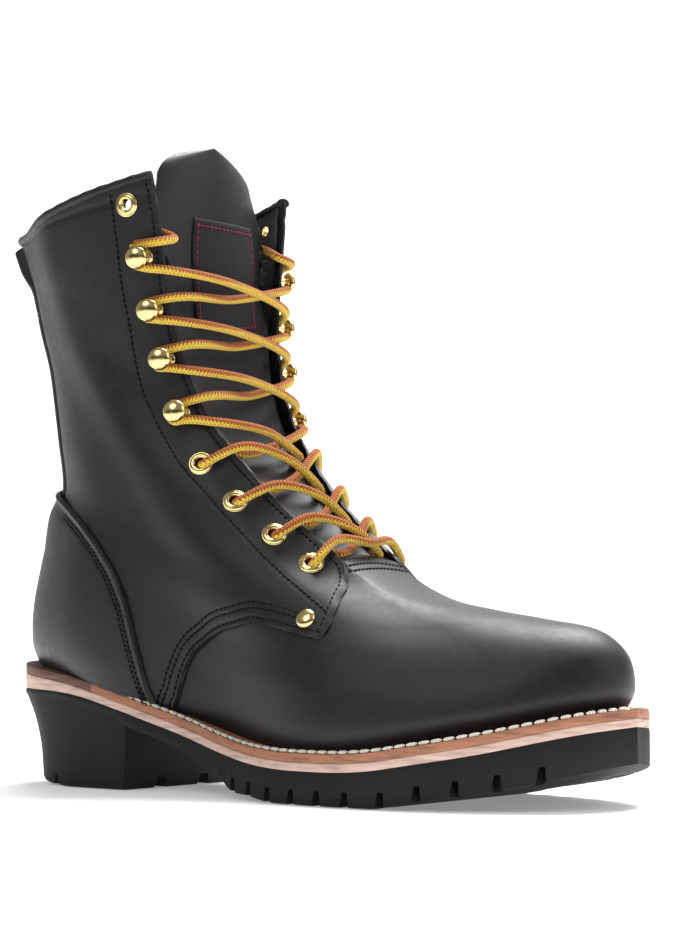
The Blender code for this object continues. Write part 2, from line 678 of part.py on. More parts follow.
def tube(path, radius, sides=6):
    """Closed round tube along a path."""
    along = np.gradient(path, axis=0)
    along /= np.linalg.norm(along, axis=1, keepdims=True)
    across = np.cross(along[0], [0.3, 0.0, 1.0])
    turn = np.linspace(0, 2 * np.pi, sides + 1)[:-1]
    rings = []
    for place, tangent in zip(path, along):
        across = across - tangent * np.dot(across, tangent)
        across /= np.linalg.norm(across)
        other = np.cross(tangent, across)
        rings.append(place + radius * (np.outer(np.cos(turn), across) + np.outer(np.sin(turn), other)))
    return loft(rings)


def edge_row(k):
    """Row where the facing's edge is nearest to fastening k."""
    kind, row, angle = FASTENINGS[k]
    place = bare_point(row, angle)
    rows = np.linspace(THROAT_ROW, COLLAR_ROW, 200)
    return rows[np.linalg.norm(bare_point(rows, curve(rows, FACING_EDGE)) - place, axis=1).argmin()]


def sided(angle, side):
    return angle if side == "lateral" else 2 * np.pi - angle


def on_tongue(row, share, side, lift):
    """Point above the tongue at a share of its half width towards a side."""
    t = (row - TONGUE_ROW) / (COLLAR_ROW - TONGUE_ROW)
    sign = 1.0 if side == "lateral" else -1.0
    return tongue_sheet(np.array([t]), np.array([sign * share]), TONGUE_THICKNESS + lift)[0]


def lace_out():
    """Distance out of a lace's middle where it lies by a hook, between base and dome."""
    return QUARTER_STEP + OVERLAY_GAP + HOOK_BASE + LACE_DIAMETER / 2 + 0.35


def over_edge(k, side, up, rise=0.0):
    """Point of a lace over the facing's edge beside fastening k."""
    row = edge_row(k)
    out = QUARTER_STEP + LACE_DIAMETER / 2 + 5 * GAP + rise
    return spot(row, sided(float(curve(row, FACING_EDGE)), side), out, up)[0]


def strand(low_k, low_side, high_k, high_side, lift):
    """Marks of one strand from the lower fastening up and across to the next one."""
    radius = LACE_DIAMETER / 2
    low_kind, low_row, low_angle = FASTENINGS[low_k]
    high_kind, high_row, high_angle = FASTENINGS[high_k]
    low_edge, high_edge = edge_row(low_k), edge_row(high_k)
    marks = []
    if low_kind == "hook":
        marks.append(spot(low_row, sided(low_angle + 0.03, low_side), lace_out(), HOOK_SIDE)[0])
        marks.append(over_edge(low_k, low_side, 3.6))
    else:
        edge = float(curve(low_edge, FACING_EDGE)) - 0.09
        marks.append(spot(low_edge, sided(edge, low_side), 0.6, 3.4)[0])
    for share in (0.3, 0.5, 0.7):
        row = low_edge + (high_edge - low_edge) * share
        side = low_side if share < 0.5 else high_side
        marks.append(on_tongue(row, abs(share - 0.5) * 2.2, side, radius + lift))
    marks.append(over_edge(high_k, high_side, -3.6))
    if high_kind == "hook":
        marks.append(spot(high_row, sided(high_angle + 0.03, high_side), lace_out(), -HOOK_SIDE)[0])
    else:
        out = QUARTER_STEP + GAP + 1.4 + radius + 2 * GAP
        marks.append(spot(high_row, sided(high_angle - 0.05, high_side), out)[0])
    return marks


def add_laces(material):
    """Bottom bar, the crossings above it and the two free ends."""
    radius = LACE_DIAMETER / 2
    last = len(FASTENINGS) - 1
    kind, row, angle = FASTENINGS[last]
    out = QUARTER_STEP + GAP + 1.4 + radius + 2 * GAP
    ends = [spot(row, sided(angle - 0.05, side), out)[0] for side in ("lateral", "medial")]
    over = [over_edge(last, side, -1.5, 1.6) for side in ("lateral", "medial")]
    middle = on_tongue(edge_row(last) + 0.05, 0.0, "lateral", radius + 2.4)
    marks = [ends[0], over[0], middle, over[1], ends[1]]
    points, faces = tube(smooth_path(marks, 15), radius)
    make_object("lace_bar", points, faces, material)
    for k in range(last - 1, 0, -1):
        first = strand(k + 1, "lateral", k, "medial", CROSS_LIFT)
        second = strand(k + 1, "medial", k, "lateral", CROSS_LIFT + 0.7 * LACE_DIAMETER)
        points, faces = tube(smooth_path(first, 12), radius)
        under = make_object(f"lace_cross_{k}", points, faces, material)
        points, faces = tube(smooth_path(second, 12), radius)
        boolean(under, make_object(f"lace_over_{k}", points, faces, material), "UNION")
    for side in ("lateral", "medial"):
        kind, row, angle = FASTENINGS[1]
        edge = edge_row(1)
        inside = -(LINING_WALL + radius + 2 * GAP)
        facing = float(curve(edge, FACING_EDGE))
        marks = [
            spot(row, sided(angle + 0.03, side), lace_out(), HOOK_SIDE)[0],
            over_edge(1, side, 6.5),
            spot(edge, sided(facing - 0.10, side), -0.4, 8.5)[0],
            spot(edge, sided(facing + 0.10, side), inside, 11.0)[0],
            spot(edge, sided(facing + 0.40, side), inside, 14.0)[0],
        ]
        make_cord(f"lace_end_{side}", marks, 13, material)


def add_fastenings(material):
    """Eyelets, hooks and rivets, mirrored from the lateral to the medial side."""
    for side in ("lateral", "medial"):
        for k, (kind, row, angle) in enumerate(FASTENINGS):
            turn = angle if side == "lateral" else 2 * np.pi - angle
            add = add_eyelet if kind == "eyelet" else add_hook
            add(f"{kind}_{side}_{k + 1}", row, turn, material)
        row, angle = RIVET_PLACE
        turn = angle if side == "lateral" else 2 * np.pi - angle
        add_rivet(f"rivet_{side}", row, turn, material)


def build():
    for old in list(bpy.data.objects):
        bpy.data.objects.remove(old, do_unlink=True)
    leather = make_material("oiled_leather", (0.028, 0.027, 0.029), 0.5)
    soft = make_material("tongue_leather", (0.030, 0.029, 0.031), 0.55)
    rubber = make_material("black_rubber", (0.020, 0.020, 0.021), 0.8)
    tan = make_material("tan_welt_leather", (0.40, 0.20, 0.12), 0.6)
    pale = make_material("pale_midsole_leather", (0.66, 0.48, 0.40), 0.65)
    board = make_material("insole_leather", (0.30, 0.19, 0.11), 0.7)
    braid = make_material("braided_lace", (0.62, 0.38, 0.10), 0.85)
    brass = make_material("polished_brass", (0.72, 0.55, 0.24), 0.2, 1.0)
    add_outsole(rubber)
    add_layer(
        "midsole", pale, lambda x: sole_top(x) + GAP, lambda x: welt_top(x) - WELT_THICKNESS - GAP
    )
    add_layer("welt", tan, lambda x: welt_top(x) - WELT_THICKNESS, welt_top)
    add_insole(board)
    add_upper(leather)
    add_tongue(soft)
    add_label(board)
    add_counter(leather)
    add_backstay(leather)
    add_binding(leather)
    add_fastenings(brass)
    add_laces(braid)


build()
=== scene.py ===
"""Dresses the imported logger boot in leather, rubber, brass and braided lace."""
import math
from functools import partial

import bpy
import numpy as np
from mathutils import Matrix, Vector, kdtree


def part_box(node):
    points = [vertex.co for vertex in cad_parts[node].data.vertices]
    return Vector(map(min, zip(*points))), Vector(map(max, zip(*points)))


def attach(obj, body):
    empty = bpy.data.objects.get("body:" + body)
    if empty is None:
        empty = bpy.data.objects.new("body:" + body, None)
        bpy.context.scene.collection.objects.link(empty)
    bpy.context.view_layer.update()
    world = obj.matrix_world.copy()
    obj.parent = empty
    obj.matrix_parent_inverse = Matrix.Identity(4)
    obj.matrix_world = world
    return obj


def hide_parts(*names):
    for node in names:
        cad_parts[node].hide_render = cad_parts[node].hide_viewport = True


bl_info = {
    "name": "Logger Boot",
    "version": (1, 0, 0),
    "blender": (4, 5, 0),
    "location": "View3D > Sidebar > Boot",
    "description": "Builds the leather, sole, brass and laces of a logger boot over its solids",
    "category": "Add Mesh",
}

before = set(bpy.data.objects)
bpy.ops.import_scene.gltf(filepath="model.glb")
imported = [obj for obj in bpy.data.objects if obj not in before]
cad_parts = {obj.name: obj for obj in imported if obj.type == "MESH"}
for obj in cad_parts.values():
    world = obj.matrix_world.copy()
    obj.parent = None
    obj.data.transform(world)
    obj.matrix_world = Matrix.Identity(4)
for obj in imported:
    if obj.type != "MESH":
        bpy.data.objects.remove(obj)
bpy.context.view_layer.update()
MM = 0.001
TURN = 2 * np.pi

# The camera's place, found from the photograph
VIEW_TURN = 37.81
VIEW_PITCH = 3.5
VIEW_DISTANCE = 1032.1
VIEW_HEIGHT = 75.6
VIEW_SHIFT = 15.3
VIEW_AIM = 156.0
FOCAL_PIXELS = 2417.0
IMAGE_LONG_SIDE = 933
SENSOR = 36.0
# Lights: name, turn from the camera's side in degrees, then in metres height, distance and size, and power
LIGHTS = (
    ("key", -35, 1.3, 1.6, 1.2, 11.0),
    ("fill", 70, 0.9, 1.8, 1.4, 8.0),
    ("top", 150, 1.9, 0.8, 1.5, 105.0),
    ("rim", 125, 1.3, 1.5, 1.1, 5.0),
)
LIGHTS_AIM = (0.07, 0.0, 0.12)
SKY_STRENGTH = 0.34
FLOOR_GLOW = 0.24
# Paper sweep and the card behind the camera, in metres
FLOOR_HALF_LENGTH = 4.0
FLOOR_HALF_WIDTH = 5.0
SWEEP_START = 2.0
SWEEP_RUN = 1.2
SWEEP_RADIUS = 0.76
CARD_DISTANCE = 2.4
CARD_MIDDLE = 0.42
CARD_HALF_HEIGHT = 0.40
CARD_TURN = 70

# Sizes of the boot that its other sizes follow, in millimetres
LENGTH = (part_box("outsole")[1].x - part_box("outsole")[0].x) / MM
ORIGIN_FROM_HEEL = -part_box("outsole")[0].x / MM
BALL_WIDTH = 112.6
SHAFT_RISE = 195.0
SOLE_TOP = 43.0
WELT_STACK = 7.2
GAP = 0.3
LINING_WALL = 1.9
THROAT_DIP = 8.0
COLLAR_DIP = 9.5
TONGUE_GAP = 1.6
TONGUE_CURL = 5.0
TONGUE_CROWN = 14.5
HEEL_BREAST = 81.5
HOOK_LACE_OUT = 5.3
HOOK_SIDE = 5.7
HOOK_LACE_RISE = 4.0
# A lace that comes up from behind the facing: angle behind its edge, distance out from the vamp
UNDER_FACING = ((0.14, -4.9), (0.03, -4.7), (-0.12, -2.4))

# Outline of the sole: share of length, share of half ball width
LATERAL_EDGE = [
    (0.0, 0.0), (0.02, 0.40), (0.06, 0.58), (0.13, 0.68), (0.22, 0.70), (0.34, 0.70), (0.44, 0.78),
    (0.56, 0.96), (0.64, 1.0), (0.74, 0.965), (0.84, 0.80), (0.92, 0.56), (0.97, 0.30), (1.0, -0.10),
]
MEDIAL_EDGE = [
    (0.0, 0.0), (0.02, 0.38), (0.06, 0.56), (0.13, 0.65), (0.22, 0.66), (0.34, 0.60), (0.44, 0.62),
    (0.56, 0.78), (0.66, 0.96), (0.74, 1.0), (0.84, 0.93), (0.92, 0.76), (0.97, 0.54), (1.0, 0.10),
]
# Side view of the sole: share of length, share of SOLE_TOP
SOLE_TOP_LINE = [
    (0.0, 1.0), (0.18, 0.92), (0.25, 0.80), (0.33, 0.65), (0.39, 0.54), (0.465, 0.41), (0.525, 0.345),
    (0.575, 0.317), (0.65, 0.31), (0.74, 0.353), (0.77, 0.39), (0.87, 0.52), (0.95, 0.66), (1.0, 0.745),
]
SOLE_UNDER_LINE = [
    (0.0, 0.93), (0.18, 0.86), (0.25, 0.72), (0.28, 0.60), (0.30, 0.57), (0.37, 0.415), (0.415, 0.31),
    (0.452, 0.22), (0.47, 0.11), (0.52, 0.045), (0.575, 0.0), (0.73, 0.0), (0.77, 0.055), (0.835, 0.13),
    (0.90, 0.215), (0.975, 0.355), (1.0, 0.41),
]
STACK_LINE = [(0.0, 1.65), (0.08, 1.3), (0.19, 1.02), (0.32, 1.0), (1.0, 1.0)]
NOTCHES = (0.485, 0.522, 0.562, 0.604, 0.646, 0.692, 0.742, 0.79, 0.838, 0.885, 0.93)
# Back of the heel, seen from the side: share of the way down, millimetres forward
HEEL_BACK = [(0.0, 0.0), (0.27, 6.0), (0.54, 9.8), (1.0, 12.0)]
HEEL_LEVELS = (0.0, 0.07, 0.14, 0.2, 0.27, 0.35, 0.42, 0.5, 0.6, 0.7, 0.8, 0.9, 0.97, 1.0)
HEEL_FRONT = 84.0

# Loops of the upper from feather line to collar, as shares of length, shaft rise and half ball width:
# back x, back rise, front x, front rise, heel, waist, ball, toe, swing waist, ball, toe
LOOPS = [
    (0.008, 0.000, 0.971, 0.000, 0.610, 0.550, 0.880, 0.655, -0.05, -0.01, 0.10),
    (0.000, 0.055, 0.984, 0.048, 0.665, 0.585, 0.925, 0.700, -0.05, -0.01, 0.10),
    (0.003, 0.128, 0.975, 0.118, 0.680, 0.605, 0.895, 0.640, -0.05, -0.01, 0.10),
    (0.018, 0.225, 0.935, 0.180, 0.670, 0.640, 0.825, 0.550, -0.035, 0.01, 0.10),
    (0.038, 0.328, 0.861, 0.229, 0.640, 0.685, 0.755, 0.480, -0.02, 0.02, 0.08),
    (0.065, 0.431, 0.774, 0.275, 0.610, 0.710, 0.710, 0.430, 0.0, 0.027, 0.06),
    (0.056, 0.533, 0.682, 0.333, 0.580, 0.725, 0.670, 0.405, 0.0, 0.027, 0.045),
    (0.046, 0.626, 0.609, 0.410, 0.550, 0.740, 0.650, 0.395, 0.0, 0.018, 0.035),
    (0.037, 0.708, 0.516, 0.518, 0.520, 0.750, 0.650, 0.430, 0.0, 0.018, 0.018),
    (0.020, 0.790, 0.443, 0.646, 0.500, 0.770, 0.665, 0.475, 0.0, 0.0, 0.0),
    (0.006, 0.867, 0.406, 0.785, 0.495, 0.800, 0.740, 0.535, 0.0, 0.0, 0.0),
    (-0.010, 0.933, 0.394, 0.954, 0.505, 0.840, 0.810, 0.610, 0.0, 0.0, 0.0),
    (-0.028, 1.000, 0.402, 1.242, 0.530, 0.900, 0.900, 0.700, 0.0, 0.0, 0.0),
]
STATIONS = (0.15, 0.42, 0.68, 0.88)
THROAT_ROW = 6.62
TONGUE_ROW = 6.1
COLLAR_ROW = 11.93
TIP_SHARE = 0.3
BACK_OF_TIP = 7.0

# Seams over the upper: row, angle from the front in radians
VAMP_EDGE = [(0.0, 1.90), (1.83, 1.79), (2.75, 1.665), (3.55, 1.43), (3.95, 1.30), (5.28, 1.05), (6.62, 0.70)]
QUARTER_EDGE = [
    (0.0, 1.875), (0.68, 1.846), (1.6, 1.814), (2.23, 1.775), (2.65, 1.72), (3.1, 1.641), (3.4, 1.555),
    (3.65, 1.469), (3.70, 1.398), (3.68, 1.343), (3.59, 1.272), (3.50, 1.20),
]
QUARTER_FRONT = [
    (3.50, 1.20), (3.88, 1.139), (4.65, 1.029), (5.2, 0.919), (5.7, 0.778), (6.1, 0.668), (6.42, 0.600),
    (6.75, 0.580), (7.2, 0.613), (8.0, 0.65), (8.4, 0.70), (8.85, 0.75), (9.5, 0.757), (10.8, 0.778),
    (11.2, 0.785), (11.6, 0.81), (11.93, 0.85),
]
FACING_EDGE = [
    (6.62, 0.56), (7.2, 0.613), (8.0, 0.65), (8.4, 0.70), (8.85, 0.75), (9.5, 0.757), (10.0, 0.768),
    (10.8, 0.778), (11.2, 0.785), (11.6, 0.81), (12.0, 0.86),
]
EYESTAY_SEAM = [
    (4.48, 1.092), (5.35, 1.115), (6.33, 1.147), (7.05, 1.241), (7.7, 1.319), (8.75, 1.288), (10.05, 1.175),
    (11.18, 1.162), (11.82, 1.19),
]
BACKSTAY_EDGE = [
    (4.9, 2.70), (6.0, 2.655), (7.0, 2.63), (8.0, 2.575), (9.0, 2.535), (10.0, 2.525), (11.0, 2.535),
    (12.0, 2.57),
]
COUNTER_FRONT = [(0.0, 1.925), (0.75, 1.94), (1.65, 1.963), (2.4, 1.987), (3.03, 2.011)]
COUNTER_TOP = [
    (2.011, 3.03), (2.05, 3.58), (2.113, 4.0), (2.231, 4.36), (2.403, 4.56), (2.615, 4.70), (3.1416, 4.78),
]
FASTENINGS = [
    ("eyelet", 11.70, 1.06), ("hook", 11.19, 0.955), ("hook", 10.53, 0.93), ("hook", 9.73, 0.945),
    ("hook", 8.77, 1.025), ("eyelet", 7.85, 1.12), ("eyelet", 7.28, 1.06), ("eyelet", 6.76, 0.96),
    ("eyelet", 6.17, 0.87),
]
RIVET_PLACE = (4.12, 1.20)
QUARTER_ROWS = (2.7, 6.5, 9.0)
COUNTER_ROWS = (4.6, 6.2)
STRIP_ROWS = (2.8, 5.0)
FACING_ROW = 3.3
# Height of one row of the upper in millimetres, at the throat and at the collar
THROAT_ROW_HEIGHT = 13.0
COLLAR_ROW_HEIGHT = 19.0
WELT_JOINT = 63.0
PLAIT = 1.5
STITCH_CROWDED = (72.0, 118.0)
PATH_STEP = 0.8
LACE_LIFT = 0.6
CUT_EDGE = 0.8
DOUBLES = 1e-6
SIDES = ("lateral", "medial")


def linear(code):
    """Linear colour of an sRGB hex code."""
    parts = [int(code[i:i + 2], 16) / 255 for i in (1, 3, 5)]
    return [c / 12.92 if c <= 0.04045 else ((c + 0.055) / 1.055) ** 2.4 for c in parts]


def colour_setting(name, code, description):
    return bpy.props.FloatVectorProperty(
        name=name, description=description, subtype="COLOR", size=3, min=0, max=1, default=linear(code)
    )


def length_setting(name, size, description):
    return bpy.props.FloatProperty(name=name, description=description, unit="LENGTH", default=size * MM)


class BootSizes(bpy.types.PropertyGroup):
    """Sizes of the boot's leather, thread, lace and brass."""

    leather: length_setting("Leather", 1.7, "Thickness of the quarters over the vamp")
    counter: length_setting("Counter", 1.5, "Thickness of the heel counter and backstay")
    tongue: length_setting("Tongue", 2.4, "Thickness of the tongue")
    thread: length_setting("Thread", 0.95, "Width of the upper's thread")
    stitch: length_setting("Stitch", 2.7, "Distance from stitch to stitch in the upper")
    welt: length_setting("Welt", 3.8, "Thickness of the tan welt")
    welt_stitch: length_setting("Welt stitch", 5.1, "Distance from stitch to stitch on the welt")
    lace: length_setting("Lace", 3.9, "Diameter of the round lace")
    eyelet: length_setting("Eyelet", 10.6, "Diameter of an eyelet's ring")
    bore: length_setting("Bore", 4.8, "Diameter of the hole in an eyelet")
    hook: length_setting("Hook", 10.2, "Diameter of a lace hook's head")
    rivet: length_setting("Rivet", 8.4, "Diameter of the rivet at the quarter's tip")


class BootColours(bpy.types.PropertyGroup):
    """Colours of the boot's materials."""

    leather: colour_setting("Leather", "#0d0c0e", "Oiled black leather")
    leather_light: colour_setting("Leather, pulled up", "#161516", "Where oil has left the leather")
    thread: colour_setting("Thread", "#0a090a", "Waxed thread of the upper")
    rubber: colour_setting("Rubber", "#121213", "Rubber of the sole")
    welt: colour_setting("Welt", "#9c6b52", "Edge of the leather welt")
    seat: colour_setting("Heel seat", "#5f463c", "Darker leather round the heel seat")
    midsole: colour_setting("Midsole", "#c6aa9c", "Raw edge of the pale midsole")
    welt_thread: colour_setting("Welt thread", "#d8d1c5", "Thick cord that sews the welt")
    brass: colour_setting("Brass", "#dcc588", "Polished pale brass")
    lace_gold: colour_setting("Lace, gold", "#e0bd45", "Gold yarns of the lace")
    lace_rust: colour_setting("Lace, rust", "#a2501c", "Rust brown yarns of the lace")
    label: colour_setting("Label", "#1b191c", "Woven patch on the tongue")
    label_thread: colour_setting("Label thread", "#8c2440", "Thread round the patch")
    lining: colour_setting("Insole", "#6e5238", "Leather of the insole")
    floor: colour_setting("Floor", "#f6f6f7", "Studio floor and backdrop")


def curve(x, table):
    """Smooth curve through the table's points, read at x."""
    xs, ys = (np.array(c, float) for c in zip(*table))
    x = np.clip(np.asarray(x, float), xs[0], xs[-1])
    step = np.diff(xs)
    slope = np.diff(ys) / step
    m = np.empty(len(xs))
    m[0], m[-1] = slope[0], slope[-1]
    m[1:-1] = (slope[:-1] * step[1:] + slope[1:] * step[:-1]) / (step[1:] + step[:-1])
    m[1:-1][slope[:-1] * slope[1:] <= 0] = 0
    i = np.clip(np.searchsorted(xs, x, side="right") - 1, 0, len(xs) - 2)
    t = (x - xs[i]) / step[i]
    return (
        (1 + 2 * t) * (1 - t) ** 2 * ys[i]
        + t * (1 - t) ** 2 * step[i] * m[i]
        + t * t * (3 - 2 * t) * ys[i + 1]
        + t * t * (t - 1) * step[i] * m[i + 1]
    )


def run_of(path):
    """Distance along a path at each of its points."""
    return np.r_[0, np.cumsum(np.linalg.norm(np.diff(path, axis=0), axis=1))]


def unit(lines):
    return lines / np.linalg.norm(lines, axis=-1, keepdims=True)


def ring_faces(rings, n):
    """Faces between rings of n points each, that follow one another."""
    return [
        (k * n + i, k * n + (i + 1) % n, (k + 1) * n + (i + 1) % n, (k + 1) * n + i)
        for k in range(rings - 1) for i in range(n)
    ]


def sole_top(x):
    return SOLE_TOP * curve(x / LENGTH, SOLE_TOP_LINE)


def sole_under(x):
    return SOLE_TOP * curve(x / LENGTH, SOLE_UNDER_LINE)


def welt_top(x):
    return sole_top(x) + WELT_STACK * curve(x / LENGTH, STACK_LINE)


def edge_line(table, side, count):
    """One side of the sole's outline, count points spaced evenly along it."""
    key = np.array([(a * LENGTH, b * BALL_WIDTH / 2) for a, b in table])
    run = run_of(key)
    at = np.linspace(0, run[-1], count)
    x = curve(at, list(zip(run, key[:, 0])))
    return np.c_[x, side * curve(at, list(zip(run, key[:, 1])))]


def outline(count):
    """Whole outline of the sole as a closed line, heel to toe outside and back inside."""
    lateral = edge_line(LATERAL_EDGE, -1, count)
    medial = edge_line(MEDIAL_EDGE, 1, count)
    return np.vstack([lateral, medial[::-1][1:-1]])


def loops_at(row):
    rows = range(len(LOOPS))
    return [curve(row, list(zip(rows, c))) for c in zip(*LOOPS)]


def station_weights(s):
    """Share that each station's width has at s, back 0 to front 1."""
    out = []
    for k in range(4):
        unit = [1.0 if j == k else 0.0 for j in range(4)]
        out.append(curve(s, [(-0.1, unit[0])] + list(zip(STATIONS, unit)) + [(1.1, unit[3])]))
    return out


def bare_point(row, angle):
    """Point on the vamp's outer face in millimetres, angle 0 front, pi back, outer side between."""
    row, angle = np.broadcast_arrays(np.asarray(row, float), np.asarray(angle, float))
    c = loops_at(row)
    s = (1 + np.cos(angle)) / 2
    w = station_weights(s)
    half = sum(w[k] * c[4 + k] / (2 * np.sqrt(STATIONS[k] * (1 - STATIONS[k]))) for k in range(4))
    swing = w[1] * c[8] + w[2] * c[9] + w[3] * c[10]
    x = LENGTH * (c[0] + (c[2] - c[0]) * s)
    z = welt_top(x) + GAP + SHAFT_RISE * (c[1] + (c[3] - c[1]) * s)
    z = z - COLLAR_DIP * curve(row, [(10.3, 0.0), (12.0, 1.0)]) * 6.75 * s * (1 - s) ** 2
    turn = np.minimum(angle % TURN, -angle % TURN)
    inside = np.clip(1 - (turn / curve(np.maximum(row, THROAT_ROW), FACING_EDGE)) ** 2, 0, 1)
    x = x - THROAT_DIP * curve(row, [(5.0, 0.0), (THROAT_ROW, 1.0), (12.0, 1.0)]) * inside
    return np.stack([x, BALL_WIDTH / 2 * (swing - np.sin(angle) * half), z], -1)


def leather_normal(row, angle):
    row, angle = np.broadcast_arrays(np.asarray(row, float), np.asarray(angle, float))
    up = bare_point(np.minimum(row + 0.02, 12), angle) - bare_point(np.maximum(row - 0.02, 0), angle)
    round_ = bare_point(row, angle + 0.01) - bare_point(row, angle - 0.01)
    return unit(np.cross(up, round_))


def skin(row, angle, out):
    """Point at a distance out from the vamp's face, kept above the welt."""
    p = bare_point(row, angle) + np.asarray(out)[..., None] * leather_normal(row, angle)
    p[..., 2] = np.maximum(p[..., 2], welt_top(p[..., 0]) + 0.05)
    return p


def spot(row, angle, out, up=0.0):
    """Point over the leather, moved up along its face, with the face's normal and its upward line."""
    angle = angle % TURN
    rise = unit(bare_point(row + 0.05, angle) - bare_point(row - 0.05, angle))
    return skin(row, angle, out) + up * rise, leather_normal(row, angle), rise


def sided(angle, side):
    return angle if side == "lateral" else TURN - angle


def seam_line(table, step=1.0):
    """Rows and angles along a seam, evenly spaced on the leather."""
    row, angle = (np.array(c, float) for c in zip(*table))
    run = run_of(bare_point(row, angle))
    at = np.linspace(0, run[-1], 900)
    return even_seam(curve(at, list(zip(run, row))), curve(at, list(zip(run, angle))), step)


def quarter_outline():
    """Points along the quarter's whole edge, that its cut edge and its stitch rows follow."""
    return np.vstack([bare_point(*seam_line(table, 0.3)) for table in (QUARTER_EDGE, QUARTER_FRONT)])


def even_seam(row, angle, step):
    run = run_of(bare_point(row, angle))
    at = np.linspace(0, run[-1], int(run[-1] / step) + 2)
    return np.interp(at, run, row), np.interp(at, run, angle)


def moved_seam(row, angle, by, edge=None):
    """Seam moved sideways over the leather by a distance, kept that far from every part of an edge."""
    here = bare_point(row, angle)
    step = np.where(row > 11.9, -0.01, 0.01)
    by_row = (bare_point(row + step, angle) - here) / step[:, None]
    by_angle = (bare_point(row, angle + 0.01) - here) / 0.01
    along = np.gradient(here, axis=0)
    side = unit(np.cross(leather_normal(row, angle), along)) * by
    pairs = ((by_row, by_row), (by_row, by_angle), (by_angle, by_angle), (by_row, side), (by_angle, side))
    a, b, c, p, q = (np.sum(one * other, 1) for one, other in pairs)
    det = a * c - b * b
    new_row = row + (c * p - b * q) / det
    new_angle = angle + (a * q - b * p) / det
    far = nearest(bare_point(new_row, new_angle), here if edge is None else edge) > abs(by) * 0.96
    keep = far & (new_row > 0.05) & (new_row < 11.85)
    return new_row[keep], new_angle[keep]


def nearest(places, line):
    """Distance of each place from the nearest point of a line."""
    tree = kdtree.KDTree(len(line))
    for i, p in enumerate(line):
        tree.insert(p, i)
    tree.balance()
    return np.array([tree.find(p)[2] for p in places])


def smooth_path(marks):
    """Evenly spaced points on a smooth curve through the marks."""
    marks = np.array(marks)
    run = run_of(marks)
    fine = np.linspace(0, run[-1], 600)
    tangents = np.gradient(marks, run, axis=0)
    i = np.clip(np.searchsorted(run, fine, side="right") - 1, 0, len(run) - 2)
    h = (run[i + 1] - run[i])[:, None]
    t = (fine - run[i])[:, None] / h
    dense = (
        (1 + 2 * t) * (1 - t) ** 2 * marks[i]
        + t * (1 - t) ** 2 * h * tangents[i]
        + t * t * (3 - 2 * t) * marks[i + 1]
        + t * t * (t - 1) * h * tangents[i + 1]
    )
    length = run_of(dense)
    at = np.linspace(0, length[-1], max(int(length[-1] / PATH_STEP), 4))
    return np.stack([np.interp(at, length, dense[:, k]) for k in range(3)], 1)


def in_metres(points):
    """Points from millimetres along the sole to metres in the frame."""
    return (np.asarray(points, float) - (ORIGIN_FROM_HEEL, 0, 0)) * MM


def clear_selection():
    bpy.ops.object.select_all(action="DESELECT")


def make_active(obj):
    clear_selection()
    obj.select_set(True)
    bpy.context.view_layer.objects.active = obj


def apply_modifier(obj, kind, **settings):
    """Adds a modifier with these settings and applies it."""
    make_active(obj)
    mod = obj.modifiers.new(kind.lower(), kind)
    for key, value in settings.items():
        setattr(mod, key, value)
    bpy.ops.object.modifier_apply(modifier=mod.name)


def edit_mesh(obj, *steps):
    """Runs edit mode operators on all of a mesh."""
    make_active(obj)
    bpy.ops.object.mode_set(mode="EDIT")
    bpy.ops.mesh.select_all(action="SELECT")
    for step, settings in steps:
        step(**settings)
    bpy.ops.object.mode_set(mode="OBJECT")


def soften(obj, degrees=40):
    make_active(obj)
    bpy.ops.object.shade_smooth_by_angle(angle=math.radians(degrees))


def new_mesh(name, points, faces):
    """Mesh object from points in millimetres."""
    mesh = bpy.data.meshes.new(name)
    mesh.from_pydata(in_metres(points).tolist(), [], faces)
    obj = bpy.data.objects.new(name, mesh)
    bpy.context.scene.collection.objects.link(obj)
    return obj


def closed_mesh(name, points, faces):
    """Mesh object from points in millimetres whose doubles are merged and whose faces point outward."""
    obj = new_mesh(name, points, faces)
    edit_mesh(
        obj,
        (bpy.ops.mesh.remove_doubles, {"threshold": DOUBLES}),
        (bpy.ops.mesh.normals_make_consistent, {"inside": False}),
    )
    return obj


def laid_sheet(name, place, columns, rows, wall, face_front=False):
    """Grid primitive whose points are laid by a function of two shares, with a wall inward."""
    clear_selection()
    bpy.ops.mesh.primitive_grid_add(x_subdivisions=columns, y_subdivisions=rows, size=2)
    obj = bpy.context.object
    obj.name = name
    obj.data.name = name
    flat = np.empty(len(obj.data.vertices) * 3)
    obj.data.vertices.foreach_get("co", flat)
    flat = flat.reshape(-1, 3)
    laid = in_metres(place((flat[:, 0] + 1) / 2, (flat[:, 1] + 1) / 2))
    obj.data.vertices.foreach_set("co", laid.ravel())
    obj.data.update()
    if face_front and sum(face.normal.x for face in obj.data.polygons) < 0:
        edit_mesh(obj, (bpy.ops.mesh.flip_normals, {}))
    apply_modifier(obj, "SOLIDIFY", thickness=wall * MM, offset=-1.0)
    return obj


def dress(obj, finish, slot, *nodes, smooth=40):
    """Gives a piece its finish, rides it on the boot and hides the solids that it stands for."""
    obj.data.materials.clear()
    obj.data.materials.append(material(finish))
    if smooth:
        soften(obj, smooth)
    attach(obj, "root")
    if nodes:
        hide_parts(*nodes)
    return obj


